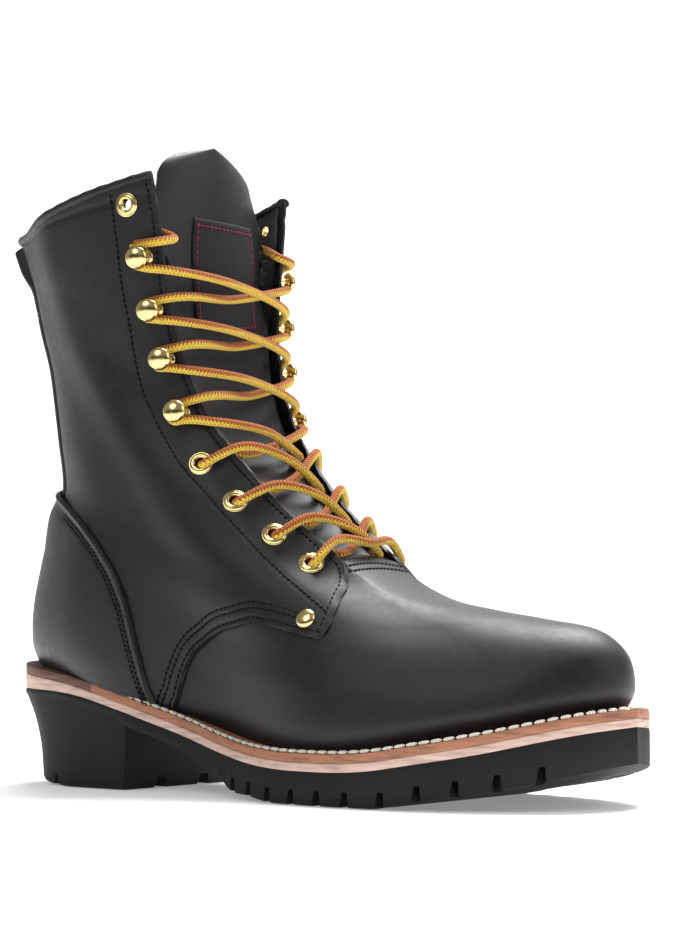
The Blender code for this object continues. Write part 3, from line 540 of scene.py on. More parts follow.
def lathe(name, profile, steps=40, closed=False):
    """Part turned about the Z axis from a profile of radius and height in millimetres."""
    points = [(r * MM, 0.0, h * MM) for r, h in profile]
    edges = [(i, i + 1) for i in range(len(points) - 1)]
    if closed:
        edges.append((len(points) - 1, 0))
    mesh = bpy.data.meshes.new(name)
    mesh.from_pydata(points, edges, [])
    obj = bpy.data.objects.new(name, mesh)
    bpy.context.scene.collection.objects.link(obj)
    edit_mesh(
        obj,
        (bpy.ops.mesh.spin, {"steps": steps, "angle": TURN, "center": (0, 0, 0), "axis": (0, 0, 1)}),
        (bpy.ops.mesh.select_all, {"action": "SELECT"}),
        (bpy.ops.mesh.remove_doubles, {"threshold": DOUBLES}),
        (bpy.ops.mesh.normals_make_consistent, {"inside": False}),
    )
    return obj


def placed_copy(master, name, centre, normal, rise):
    """Copy of a turned part with its own mesh, standing on the leather."""
    obj = master.copy()
    obj.data = master.data.copy()
    obj.name = name
    obj.data.name = name
    bpy.context.scene.collection.objects.link(obj)
    z = Vector(normal).normalized()
    x = Vector(rise).cross(z).normalized()
    y = z.cross(x)
    turn = Matrix((x, y, z)).transposed().to_4x4()
    obj.data.transform(Matrix.Translation(Vector(in_metres(centre))) @ turn)
    return obj


def cord_mesh(name, path, radius, sides=14):
    """Round tube along a path with a map of distance along it and share round it."""
    path = np.asarray(path)
    along = unit(np.gradient(path, axis=0))
    run = run_of(path)
    across = np.cross(along[0], [0.3, 0.6, 0.2])
    turn = np.linspace(0, TURN, sides + 1)[:-1]
    rings = []
    for place, tangent in zip(path, along):
        # the ring's start turns slowly to the top, so that both colours of the lace show from outside
        across = across + 0.25 * np.array([0.0, 0.0, 1.0])
        across = unit(across - tangent * np.dot(across, tangent))
        other = np.cross(tangent, across)
        rings.append(place + radius * (np.outer(np.cos(turn), across) + np.outer(np.sin(turn), other)))
    maps = []
    for low, high in zip(run, run[1:]):
        for i in range(sides):
            a, b = i / sides, (i + 1) / sides
            maps.extend([(low, a), (low, b), (high, b), (high, a)])
    maps.extend([(0.0, 0.0)] * (2 * sides))
    last = (len(path) - 1) * sides
    faces = ring_faces(len(path), sides)
    faces += [tuple(range(sides))[::-1], tuple(range(last, last + sides))]
    obj = new_mesh(name, np.vstack(rings), faces)
    layer = obj.data.uv_layers.new(name="along")
    layer.data.foreach_set("uv", np.array(maps, float).ravel())
    return obj


def joined(name, parts):
    """One object from several."""
    clear_selection()
    for part in parts:
        part.select_set(True)
    bpy.context.view_layer.objects.active = parts[0]
    if len(parts) > 1:
        bpy.ops.object.join()
    parts[0].name = name
    parts[0].data.name = name
    return parts[0]


def stitch_shape():
    """Points and faces of one stitch, a small pulled-in capsule of length, width and height one."""
    clear_selection()
    bpy.ops.mesh.primitive_uv_sphere_add(segments=6, ring_count=5, radius=0.5)
    ball = bpy.context.object
    points = np.array([(v.co.z, v.co.x, v.co.y) for v in ball.data.vertices])
    points[:, 0] = np.sign(points[:, 0]) * np.abs(points[:, 0] * 2) ** 0.7 / 2
    faces = [tuple(p.vertices) for p in ball.data.polygons]
    bpy.data.objects.remove(ball)
    return points, faces


def stitched(name, seams, size, shape, tilt=0.0):
    """Stitches along seams: each seam has places and normals, size is length, width, height."""
    points, faces = shape
    all_points, all_faces = [], []
    for places, normals in seams:
        along = unit(np.gradient(places, axis=0))
        side = unit(np.cross(normals, along))
        lead = along * math.cos(tilt) + side * math.sin(tilt)
        flank = np.cross(normals, lead)
        for c, a, s, n in zip(places, lead, flank, normals):
            base = len(all_points) * len(points)
            body = c + np.outer(points[:, 0] * size[0], a) + np.outer(points[:, 1] * size[1], s)
            all_points.append(body + np.outer(points[:, 2] * size[2], n))
            all_faces.extend(tuple(i + base for i in f) for f in faces)
    return closed_mesh(name, np.vstack(all_points), all_faces)


def seam_stitches(row, angle, out, pitch):
    """Places and normals of the stitches of one seam on both sides of the boot."""
    row, angle = even_seam(row, angle, pitch)
    seams = []
    for turned in (angle, TURN - angle):
        seams.append((skin(row, turned, np.full(len(row), out)), leather_normal(row, turned)))
    return seams


def add_node(tree, kind, *values, inputs=None, stops=(), into=None, **named):
    """Adds a node. Numbered and capitalised values are its inputs, linked where they are nodes or sockets."""
    made = tree.nodes.new("ShaderNode" + kind)
    inputs = {**dict(enumerate(values)), **(inputs or {})}
    for key, value in named.items():
        if key[0].isupper():
            inputs[key] = value
        else:
            setattr(made, key, value)
    for key, value in inputs.items():
        source = result_of(value) if isinstance(value, bpy.types.Node) else value
        if isinstance(source, bpy.types.NodeSocket):
            tree.links.new(source, made.inputs[key])
        else:
            made.inputs[key].default_value = source
    for _ in stops[2:]:
        made.color_ramp.elements.new(0.5)
    for k, (place, colour) in enumerate(stops):
        made.color_ramp.elements[k].position = place
        made.color_ramp.elements[k].color = (*colour, 1.0)
    if into:
        tree.links.new(result_of(made), tree.nodes["Principled BSDF"].inputs[into])
    return made


def result_of(node):
    """The socket that a node gives its result at, which for a mix of colours is the third."""
    return node.outputs[2 if node.bl_idname == "ShaderNodeMix" else 0]


def new_material(name, **values):
    """New material whose Principled shader takes these values. Gives the function that adds its nodes."""
    made = bpy.data.materials.new(name)
    made.use_nodes = True
    for key, value in values.items():
        made.node_tree.nodes["Principled BSDF"].inputs[key.replace("_", " ")].default_value = value
    return partial(add_node, made.node_tree)


def grey(value):
    return (value, value, value)


def shaded(colour, factor):
    return [min(c * factor, 1.0) for c in colour]


def per_metre(size_mm):
    """Texture scale of a pattern whose cells are this many millimetres."""
    return 1 / (size_mm * MM)


def oiled_leather(name, dark, light, shine=0.47):
    """Full grain cowhide, tumbled and hot oiled: a pebbled grain under a waxy, uneven sheen."""
    add = new_material(name, Specular_IOR_Level=0.33, Sheen_Weight=0.02, Sheen_Roughness=0.5)
    place = add("TexCoord").outputs["Object"]
    # hide colour drifts over some 60 mm, and the oil mottles it every few millimetres
    drift = add("TexNoise", Vector=place, Scale=per_metre(60), Detail=3.0)
    mottle = add("TexNoise", Vector=place, Scale=per_metre(3.5), Detail=5.0)
    both = add("Math", drift, mottle, operation="MULTIPLY")
    add("ValToRGB", Fac=both, stops=[(0.16, dark), (0.40, light)], into="Base Color")
    rough = [(0.3, grey(shine - 0.03)), (0.7, grey(shine + 0.05))]
    add("ValToRGB", Fac=mottle, stops=rough, into="Roughness")
    # pebbles of the grain are about 0.8 mm across, and pores are finer
    pebble = add("TexVoronoi", Vector=place, Scale=per_metre(0.8), feature="SMOOTH_F1")
    pore = add("TexNoise", Vector=place, Scale=per_metre(0.5), Detail=2.0)
    wave = add("TexNoise", Vector=place, Scale=per_metre(14), Detail=2.0)
    first = add("Bump", Height=wave, Distance=0.5 * MM, Strength=0.25)
    second = add("Bump", Height=pebble, Distance=0.10 * MM, Strength=0.22, Normal=first)
    add("Bump", Height=pore, Distance=0.05 * MM, Strength=0.25, Normal=second, into="Normal")


def lug_rubber(name, colour):
    """Vulcanised rubber from a blasted mould: matt black with a fine even grit."""
    add = new_material(name, Roughness=0.68, Specular_IOR_Level=0.25)
    place = add("TexCoord").outputs["Object"]
    dust = add("TexNoise", Vector=place, Scale=per_metre(18), Detail=6.0)
    add("ValToRGB", Fac=dust, stops=[(0.35, colour), (0.75, shaded(colour, 1.7))], into="Base Color")
    grit = add("TexNoise", Vector=place, Scale=per_metre(0.5), Detail=3.0)
    add("Bump", Height=grit, Distance=0.08 * MM, Strength=0.35, into="Normal")


def leather_edge(name, colour, seat=None, pitted=0.35):
    """Cut and sanded edge of vegetable tanned leather: fibres lie in thin layers along the edge."""
    add = new_material(name, Roughness=0.66, Specular_IOR_Level=0.3)
    place = add("TexCoord").outputs["Object"]
    # fibres run along the edge for centimetres and are a fraction of a millimetre high
    stretched = add("Mapping", Vector=place, Scale=(0.12, 0.12, 1.0))
    fibre = add("TexNoise", Vector=stretched, Scale=per_metre(1.6), Detail=6.0)
    tones = [(0.32, shaded(colour, 0.9 - 0.105 / pitted)), (0.50, colour), (0.70, shaded(colour, 1.2))]
    edge = add("ValToRGB", Fac=fibre, stops=tones, into="Base Color")
    if seat:
        # a darker rand lies round the heel seat and is butted against the welt
        joint = (WELT_JOINT - ORIGIN_FROM_HEEL) * MM
        behind = add("Math", add("SeparateXYZ", Vector=place), joint, operation="LESS_THAN")
        rand = add("ValToRGB", Fac=fibre, stops=[(0.3, shaded(seat, 0.6)), (0.7, shaded(seat, 1.5))])
        add("Mix", behind, inputs={6: edge, 7: rand}, data_type="RGBA", into="Base Color")
    pits = add("TexNoise", Vector=place, Scale=per_metre(0.9), Detail=4.0)
    first = add("Bump", Height=fibre, Distance=0.4 * MM, Strength=pitted)
    add("Bump", Height=pits, Distance=0.15 * MM, Strength=pitted, Normal=first, into="Normal")


def waxed_thread(name, colour, rough=0.55):
    """Twisted polyester thread, waxed: small diagonal ridges, with painted shade in the grooves between them.
    """
    add = new_material(name, Roughness=rough, Specular_IOR_Level=0.15)
    place = add("TexCoord").outputs["Object"]
    twist = add("TexWave", Vector=place, Scale=per_metre(2.2), Distortion=1.5).outputs["Fac"]
    # painted shade: the colour darkens to 0.6 in the twist's grooves, where the bump is low
    add("ValToRGB", Fac=twist, stops=[(0.2, shaded(colour, 0.6)), (0.7, colour)], into="Base Color")
    add("Bump", Height=twist, Distance=0.15 * MM, Strength=0.5, into="Normal")


def polished_brass(name, colour):
    """Stamped brass, barrel polished and lacquered: bright, with faint handling marks."""
    add = new_material(name, Metallic=1.0, Coat_Weight=0.25, Coat_Roughness=0.12)
    place = add("TexCoord").outputs["Object"]
    marks = add("TexNoise", Vector=place, Scale=per_metre(2.5), Detail=6.0)
    add("ValToRGB", Fac=marks, stops=[(0.25, shaded(colour, 0.78)), (0.6, colour)], into="Base Color")
    add("ValToRGB", Fac=marks, stops=[(0.3, grey(0.12)), (0.75, grey(0.27))], into="Roughness")
    add("Bump", Height=marks, Distance=0.03 * MM, Strength=0.3, into="Normal")


def braided_lace(name, gold, rust):
    """Round braid of spun polyester: a rust stripe with toothed borders on a gold cord, with painted shade
    between the yarns.
    """
    add = new_material(name, Roughness=0.78, Sheen_Weight=0.08, Specular_IOR_Level=0.3)
    # the map's first number is millimetres along the lace, its second is the share round it
    along, around, _ = add("SeparateXYZ", Vector=add("UVMap", uv_map="along")).outputs
    plait = add("Math", along, PLAIT, operation="DIVIDE")
    tooth = add("Math", add("Math", plait, 0.5, operation="PINGPONG"), 0.16, operation="MULTIPLY")
    swung = add("Math", add("Math", along, 0.11, operation="MULTIPLY"), operation="SINE")
    sway = add("Math", swung, 0.05, around, operation="MULTIPLY_ADD")
    toothed = add("Math", add("Math", sway, 0.5, operation="PINGPONG"), tooth, operation="ADD")
    stripe = add("Math", toothed, 0.29, operation="LESS_THAN")
    # each yarn of the braid crosses the cord at a slant, both ways round
    turns = add("Math", around, 4.0, operation="MULTIPLY")
    slants = []
    for way in ("ADD", "SUBTRACT"):
        slant = add("Math", add("Math", plait, turns, operation=way), TURN, operation="MULTIPLY")
        slants.append(add("Math", slant, operation="SINE"))
    relief = add("Math", *slants, operation="MAXIMUM")
    # painted shade: the base colour is darkened where the relief is low, between the raised yarns
    shade = add("Math", relief, 0.22, 0.80, operation="MULTIPLY_ADD")
    crossed = add("Math", add("Math", *slants, operation="MULTIPLY"), 0.55, operation="GREATER_THAN")
    fleck = add("Math", crossed, 0.55, operation="MULTIPLY")
    between = [(a + b) / 2 for a, b in zip(gold, rust)]
    striped = add("Mix", stripe, inputs={6: (*gold, 1.0), 7: (*rust, 1.0)}, data_type="RGBA")
    flecked = add("Mix", fleck, inputs={6: striped, 7: (*between, 1.0)}, data_type="RGBA")
    add("Mix", 1.0, inputs={6: flecked, 7: shade}, data_type="RGBA", blend_type="MULTIPLY", into="Base Color")
    add("Bump", Height=relief, Distance=0.35 * MM, Strength=0.8, into="Normal")


def woven_patch(name, colour):
    """Damask woven patch: tight ribs of fine yarn, with painted shade in the dips of the weave and painted
    light on its raised yarns.
    """
    add = new_material(name, Roughness=0.75, Sheen_Weight=0.04, Specular_IOR_Level=0.2)
    place = add("TexCoord").outputs["Object"]
    # real yarns of 0.15 mm are drawn at 0.6 mm, so that the ribs show
    yarns = [
        add("TexWave", Vector=place, Scale=per_metre(3.8), bands_direction=way).outputs["Fac"] for way in "YZ"
    ]
    weave = add("Math", *yarns, operation="MULTIPLY")
    # painted shade and light: the colour runs from 0.6 in the weave's dips to 1.5 on its raised yarns
    tones = [(0.1, shaded(colour, 0.6)), (0.8, shaded(colour, 1.5))]
    add("ValToRGB", Fac=weave, stops=tones, into="Base Color")
    add("Bump", Height=weave, Distance=0.12 * MM, Strength=0.6, into="Normal")


def material(kind):
    """The boot's material of that name, made when first asked for."""
    if kind not in bpy.data.materials:
        colours = bpy.context.scene.boot_colours
        tint = {key: list(getattr(colours, key)) for key in BootColours.__annotations__}
        black = (tint["leather"], tint["leather_light"])
        maker, *values = {
            "oiled_cowhide": (oiled_leather, *black),
            "soft_cowhide": (oiled_leather, *black, 0.42),
            "insole_leather": (oiled_leather, tint["lining"], shaded(tint["lining"], 1.3), 0.6),
            "lug_rubber": (lug_rubber, tint["rubber"]),
            "welt_leather": (leather_edge, tint["welt"], tint["seat"]),
            "midsole_leather": (leather_edge, tint["midsole"], None, 0.5),
            "upper_thread": (waxed_thread, tint["thread"]),
            "welt_thread": (waxed_thread, tint["welt_thread"], 0.6),
            "patch_thread": (waxed_thread, tint["label_thread"]),
            "polished_brass": (polished_brass, tint["brass"]),
            "braided_lace": (braided_lace, tint["lace_gold"], tint["lace_rust"]),
            "woven_patch": (woven_patch, tint["label"]),
        }[kind]
        maker(kind, *values)
    return bpy.data.materials[kind]


def size(name):
    """A size of the boot's settings in millimetres."""
    return getattr(bpy.context.scene.boot_sizes, name) / MM


def slab(name, top, under, round_by, count=150):
    """Layer of the sole between two height lines, with rounded edges."""
    line = outline(count)
    n = len(line)
    along = np.roll(line, -1, 0) - np.roll(line, 1, 0)
    inward = unit(np.c_[-along[:, 1], along[:, 0]])
    bends = [(1.0, 0.0), (0.3, 0.07), (0.0, 0.35), (0.0, 0.35), (0.3, 0.07), (1.0, 0.0)]
    rings = []
    for k, (inset, drop) in enumerate(bends):
        ring = line + inward * inset * round_by
        level = top(line[:, 0]) - drop * round_by * 2 if k < 3 else under(line[:, 0]) + drop * round_by * 2
        rings.append(np.c_[ring, level])
    faces = ring_faces(len(rings), n)
    for first in (0, (len(rings) - 1) * n):
        faces.append((first, first + 1, first + n - 1))
        for i in range(1, count - 2):
            faces.append((first + i, first + i + 1, first + n - i - 1, first + n - i))
        faces.append((first + count - 2, first + count - 1, first + n - count + 2))
    return closed_mesh(name, np.vstack(rings), faces)


def heel_block():
    """Heel tapered and hollowed at the back, with rounded edges at breast and tread."""
    line = outline(150)
    line = line[line[:, 0] <= HEEL_FRONT]
    # the line starts at the inner end of the breast and runs round the back to its outer end
    split = int(np.argmax(np.linalg.norm(np.diff(line, axis=0), axis=1))) + 1
    line = np.roll(line, -split, 0)
    rings = []
    for t in HEEL_LEVELS:
        inset = float(curve(t, HEEL_BACK))
        breast = HEEL_FRONT + (HEEL_BREAST - HEEL_FRONT) * t
        x = inset + line[:, 0] * (breast - inset) / line[0, 0]
        narrow = 1 - 0.05 * t - (0.015 if t == 1.0 else 0)
        tread = 4.0 * np.clip((48 - x) / 36, 0, 1) ** 1.6
        rings.append(np.c_[x, line[:, 1] * narrow, (sole_top(x) - 1.6) * (1 - t) + tread * t])
    n = len(line)
    faces = ring_faces(len(rings), n)
    faces += [tuple(range(n)), tuple(range((len(rings) - 1) * n, len(rings) * n))]
    return closed_mesh("heel_block", np.vstack(rings), faces)


def notch_cutter():
    """All gaps between the lugs as one mesh of wedges."""
    parts = []

    def wedge(at, inward, width, depth, reach):
        inward = np.array(inward)
        side = np.array([-inward[1], inward[0]])
        points = []
        for along in (-3.0, reach):
            for across, up in ((-0.62, -5.0), (0.62, -5.0), (0.62, 0.0), (0.3, depth), (-0.38, depth)):
                p = np.array(at[:2]) + inward * along + side * across * width
                points.append((p[0], p[1], at[2] + up))
        faces = [(0, 1, 2, 3, 4), (9, 8, 7, 6, 5)] + ring_faces(2, 5)
        parts.append(closed_mesh("wedge", np.array(points), faces))

    for table, side in ((LATERAL_EDGE, -1), (MEDIAL_EDGE, 1)):
        line = edge_line(table, side, 400)
        for share in NOTCHES:
            i = int(np.abs(line[:, 0] - share * LENGTH).argmin())
            tangent = unit(line[min(i + 3, 399)] - line[max(i - 3, 0)])
            inward = np.array([tangent[1], -tangent[0]]) * side
            wedge((*line[i], float(sole_under(line[i, 0]))), inward, 3.6, 6.0, 13.0)
        for x in (22.0, 38.0):
            y = float(np.interp(x, line[:, 0], line[:, 1])) * 0.92
            wedge((x, y, 1.2), (0.35, -side * 0.94), 3.0, 3.6, 9.0)
    for y in (-14.0, 14.0):
        wedge((HEEL_BREAST, y, 0.0), (-1.0, 0.0), 7.0, 4.5, 22.0)
    return joined("wedges", parts)


class BootSole(bpy.types.Operator):
    """Rubber outsole with heel and lugs, pale midsole, tan welt and the insole's finish."""

    bl_idname = "boot.sole"
    bl_label = "Sole"

    def execute(self, context):
        sole = slab("outsole_rubber", sole_top, sole_under, 0.9)
        for cutter, operation in ((heel_block(), "UNION"), (notch_cutter(), "DIFFERENCE")):
            apply_modifier(sole, "BOOLEAN", object=cutter, operation=operation, solver="EXACT")
            bpy.data.objects.remove(cutter)
        dress(sole, "lug_rubber", "rubber", "outsole", smooth=32)
        line = size("welt")
        midsole = slab("midsole_layer", lambda x: welt_top(x) - line, sole_top, 0.5)
        dress(midsole, "midsole_leather", "pale_leather", "midsole")
        welt = slab("welt_strip", welt_top, lambda x: welt_top(x) - line, 0.7)
        dress(welt, "welt_leather", "tan_leather", "welt")
        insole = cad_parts["insole"]
        insole.data.materials.clear()
        insole.data.materials.append(material("insole_leather"))
        return {"FINISHED"}


class BootWeltStitch(bpy.types.Operator):
    """Thick pale cord sewn along the top of the welt, from one side of the heel round the toe."""

    bl_idname = "boot.welt_stitch"
    bl_label = "Welt stitch"

    def execute(self, context):
        line = outline(400)
        along = np.roll(line, -1, 0) - np.roll(line, 1, 0)
        inward = unit(np.c_[-along[:, 1], along[:, 0]])
        # beside the heel the leather crowds the stitches out to the welt's very edge
        inset = np.interp(line[:, 0], STITCH_CROWDED, (0.2, 1.1))[:, None]
        path = (line + inward * inset)[line[:, 0] > WELT_JOINT]
        path = np.c_[path, welt_top(path[:, 0]) + 0.5]
        run = run_of(path)
        pitch = size("welt_stitch")
        at = np.arange(pitch / 2, run[-1], pitch)
        places = np.stack([np.interp(at, run, path[:, k]) for k in range(3)], 1)
        up = np.tile([0.0, 0.0, 1.0], (len(places), 1))
        shape = stitch_shape()
        # each stitch shows two plies of the cord that dive into the same hole
        first = stitched("ply_one", [(places + (0, 0, 0.25), up)], (pitch * 0.92, 1.5, 1.5), shape, 0.16)
        second = stitched("ply_two", [(places + (0, 0, 0.1), up)], (pitch * 0.8, 1.5, 1.2), shape, -0.28)
        stitches = joined("welt_stitches", [first, second])
        dress(stitches, "welt_thread", "tan_leather", smooth=60)
        return {"FINISHED"}


def eased(distance, reach=CUT_EDGE):
    """Rise of a cut leather edge from 0 at the edge to 1 at reach."""
    return 1 - np.clip(1 - distance / reach, 0, 1) ** 2.6


def dents(distance, rows, depth=0.28, wide=0.55):
    """Depth of the grooves that tight stitch rows pull into the leather."""
    return sum(depth * np.exp(-(((distance - r) / wide) ** 2)) for r in rows)


def spread(share, dense, count_share):
    """Share moved so that count_share of the columns at each end cover a dense share."""
    return np.interp(share, [0, count_share, 1 - count_share, 1], [0, dense, 1 - dense, 1])


def throat_arch(angle):
    """Rows by which the vamp's top edge stands higher in its middle."""
    return 0.42 * np.clip(1 - (angle / 0.6) ** 2, 0, 1)


class BootUpper(bpy.types.Operator):
    """Vamp and the quarters that lap over it, open at collar, throat and underneath."""

    bl_idname = "boot.upper"
    bl_label = "Upper"

    def execute(self, context):
        def vamp(u, v):
            row = v * THROAT_ROW
            edge = curve(row, VAMP_EDGE) + 0.12
            angle = (1 - 2 * u) * edge
            near_top = (THROAT_ROW - row) * THROAT_ROW_HEIGHT
            row = row + throat_arch(angle) * v**6
            out = -1.1 * (1 - eased(near_top, 1.0)) - dents(near_top, (2.2, 4.0), 0.25)
            out = out - 0.6 * np.exp(-row / 0.35)
            return skin(row, angle % TURN, out)

        top = laid_sheet("vamp_leather", vamp, 120, 150, 1.7)
        dress(top, "oiled_cowhide", "black_leather", "upper")
        step = size("leather")
        low, high = seam_line(QUARTER_EDGE, 0.5), seam_line(QUARTER_FRONT, 0.5)
        edge_points = quarter_outline()
        eyestay = bare_point(*seam_line(EYESTAY_SEAM, 0.4))
        lower, upper = (bare_point(*path) for path in (low, high))

        def along_edge(v, k):
            first = np.interp(v / TIP_SHARE, np.linspace(0, 1, len(low[k])), low[k])
            second = np.interp((v - TIP_SHARE) / (1 - TIP_SHARE), np.linspace(0, 1, len(high[k])), high[k])
            return np.where(v < TIP_SHARE, first, second)

        def quarters(u, v):
            share = spread(u, 0.11, 0.24)
            in_half = 1 - np.abs(2 * share - 1)
            edge_row, edge_angle = along_edge(v, 0), along_edge(v, 1)
            back_row = np.interp(v, [0, 0.55 * TIP_SHARE, TIP_SHARE, 1], [0, 3.0, BACK_OF_TIP, COLLAR_ROW])
            turned = edge_angle + in_half * (np.pi - edge_angle)
            row = edge_row + (back_row - edge_row) * (1 - (1 - in_half) ** 4)
            here = bare_point(row, turned)
            far = nearest(here, edge_points)
            below, front = nearest(here, lower), nearest(here, upper)
            rows = np.where(below < front, dents(below, QUARTER_ROWS), dents(front, (FACING_ROW,)))
            out = 0.1 + (step - 0.1) * eased(far) - rows - dents(nearest(here, eyestay), (0.0,), 0.25)
            out = out + 0.45 * np.exp(-((far / 2.2) ** 2)) * (row < THROAT_ROW) * eased(far)
            collar = (COLLAR_ROW - row) * COLLAR_ROW_HEIGHT
            out = out - dents(collar, (3.4,), 0.45, 0.6) - 1.0 * np.exp(-row / 0.35)
            return skin(row, np.where(share > 0.5, turned, TURN - turned), out)

        shell = laid_sheet("quarter_leather", quarters, 150, 240, step + LINING_WALL)
        wide = size("bore") / 2 + 0.3
        pin = lathe("pin", [(0, -7), (wide, -7), (wide, 7), (0, 7)], 20)
        holes = []
        for kind, row, angle in FASTENINGS:
            if kind == "eyelet":
                holes += [placed_copy(pin, "hole", *spot(row, sided(angle, side), 0.0)) for side in SIDES]
        bpy.data.objects.remove(pin)
        cutter = joined("holes", holes)
        apply_modifier(shell, "BOOLEAN", object=cutter, operation="DIFFERENCE", solver="EXACT")
        bpy.data.objects.remove(cutter)
        dress(shell, "oiled_cowhide", "black_leather", "upper")
        return {"FINISHED"}


def counter_place(u, v, out_of):
    """Point of the heel counter, u from the inner side round the back to the outer, v upward."""
    across = np.abs(u * 2 - 1)
    share = 1 - across
    top_angle = COUNTER_TOP[0][0]
    along = top_angle + share * (np.pi - top_angle)
    front_row = v * COUNTER_TOP[0][1]
    front = curve(front_row, COUNTER_FRONT)
    angle = across * front + share * np.pi
    angle = angle + v * (along - (across * top_angle + share * np.pi))
    row = v * curve(along, COUNTER_TOP)
    here = bare_point(row, angle)
    over_strip = np.clip((angle - 2.45) / 0.25, 0, 1) * np.clip((row - 3.4) / 0.8, 0, 1)
    out = out_of(here) + 1.9 * over_strip - 1.1 * np.exp(-row / 0.35)
    angle = np.where(u > 0.5, angle, TURN - angle)
    return skin(row, angle, out)


class BootOverlays(bpy.types.Operator):
    """Heel counter with its raised edge, strip and pull flap up the back, rolled collar edge."""

    bl_idname = "boot.overlays"
    bl_label = "Overlays"

    def execute(self, context):
        base = size("leather")
        thick = size("counter")
        fine = np.linspace(COUNTER_TOP[0][0], np.pi, 500)
        top = bare_point(curve(fine, COUNTER_TOP), fine)
        edge_points = np.vstack([bare_point(*seam_line(COUNTER_FRONT, 0.3)), top])

        def counter_out(here):
            far = nearest(here, edge_points)
            bead = 0.9 * np.exp(-(((far - 1.6) / 1.05) ** 2))
            return base + 0.1 + thick * eased(far) * 0.7 + bead - dents(far, COUNTER_ROWS, 0.35)

        def pocket(u, v):
            return counter_place(spread(u, 0.13, 0.28), v, counter_out)

        counter = laid_sheet("heel_counter", pocket, 170, 110, thick)
        dress(counter, "oiled_cowhide", "black_leather", "counter")

        def strip(u, v):
            row = 4.45 + v * 7.27
            half = np.pi - curve(row, BACKSTAY_EDGE)
            angle = np.pi + (1 - 2 * u) * half
            from_edge = np.minimum(u, 1 - u) * 44.0
            from_top = (1 - v) * 110.0
            flap = curve(row, [(4.3, -1.2), (5.0, 0.0), (10.0, 0.0), (11.0, 2.4), (11.72, 2.8)])
            fold = eased(np.minimum(from_edge, from_top), 2.2)
            out = base + 0.1 + (thick * 0.9 + flap) * fold - dents(from_edge, STRIP_ROWS, 0.25)
            return skin(row, angle, out - 1.2 * dents(from_top, (34.0,), 0.4, 1.2))

        backstay = laid_sheet("back_strip", strip, 70, 170, thick + 1.0)
        dress(backstay, "oiled_cowhide", "black_leather", "backstay")
        edge = float(curve(COLLAR_ROW, FACING_EDGE)) + 0.012
        angle = np.linspace(edge, TURN - edge, 260)
        middle = skin(COLLAR_ROW, angle, np.full(len(angle), (base - LINING_WALL) / 2))
        out = unit(leather_normal(COLLAR_ROW, angle) * (1, 1, 0))
        sag = 0.12 * np.sin(np.arange(len(angle)) * 0.9)
        rings = []
        for turn in np.linspace(0, TURN, 17)[:-1]:
            high = math.sin(turn) * 2.3 - 0.8
            rings.append(middle + out * (math.cos(turn) * 3.0) + np.c_[0 * sag, 0 * sag, high + sag])
        rings = np.stack(rings, 1)
        faces = ring_faces(len(angle), 16)
        faces += [tuple(range(16)), tuple(range((len(angle) - 1) * 16, len(angle) * 16))]
        binding = closed_mesh("collar_edge", rings.reshape(-1, 3), faces)
        dress(binding, "oiled_cowhide", "black_leather", "collar_binding")
        return {"FINISHED"}


def tongue_point(t, side, out):
    """Tongue's face: t up the tongue 0..1, side -1..1 across it, out from its inner face."""
    t = np.asarray(t, float)
    row = TONGUE_ROW + t * (COLLAR_ROW - TONGUE_ROW)
    edge = curve(np.maximum(row, THROAT_ROW), FACING_EDGE)
    angle = side * (edge + 0.13 - curve(t, [(0.0, 0.0), (0.88, 0.0), (1.0, 0.38)]))
    inset = LINING_WALL + TONGUE_GAP + size("tongue")
    depth = bare_point(row, 0.0)[..., 0] - bare_point(row, edge)[..., 0]
    top_gap = curve(t, [(0.0, 0.0), (0.74, 0.0), (0.87, 3.6), (1.0, 3.6)])
    base = skin(row, np.abs(angle), out - inset - top_gap)
    middle = BALL_WIDTH / 2 * loops_at(row)[10]
    base[..., 1] = np.where(angle < 0, 2 * middle - base[..., 1], base[..., 1])
    share = curve(t, [(0.0, 0.0), (0.08, 0.22), (0.2, 0.55), (0.35, 0.8), (0.6, 1.0), (1.0, 1.0)])
    flat = 1 - np.clip(np.abs(angle) / edge, 0, 1) ** 2
    base[..., 0] -= share * np.maximum(depth - TONGUE_GAP - top_gap, 0) * flat
    base[..., 0] -= TONGUE_CURL * curve(t, [(0.0, 0.0), (0.8, 0.0), (1.0, 1.0)]) * side**2
    return base


def tongue_normal(t, side, out):
    up = tongue_point(t + 0.01, side, out) - tongue_point(t - 0.01, side, out)
    across = tongue_point(t, side + 0.02, out) - tongue_point(t, side - 0.02, out)
    n = unit(np.cross(up, across))
    return np.where(n[..., :1] < 0, -n, n)


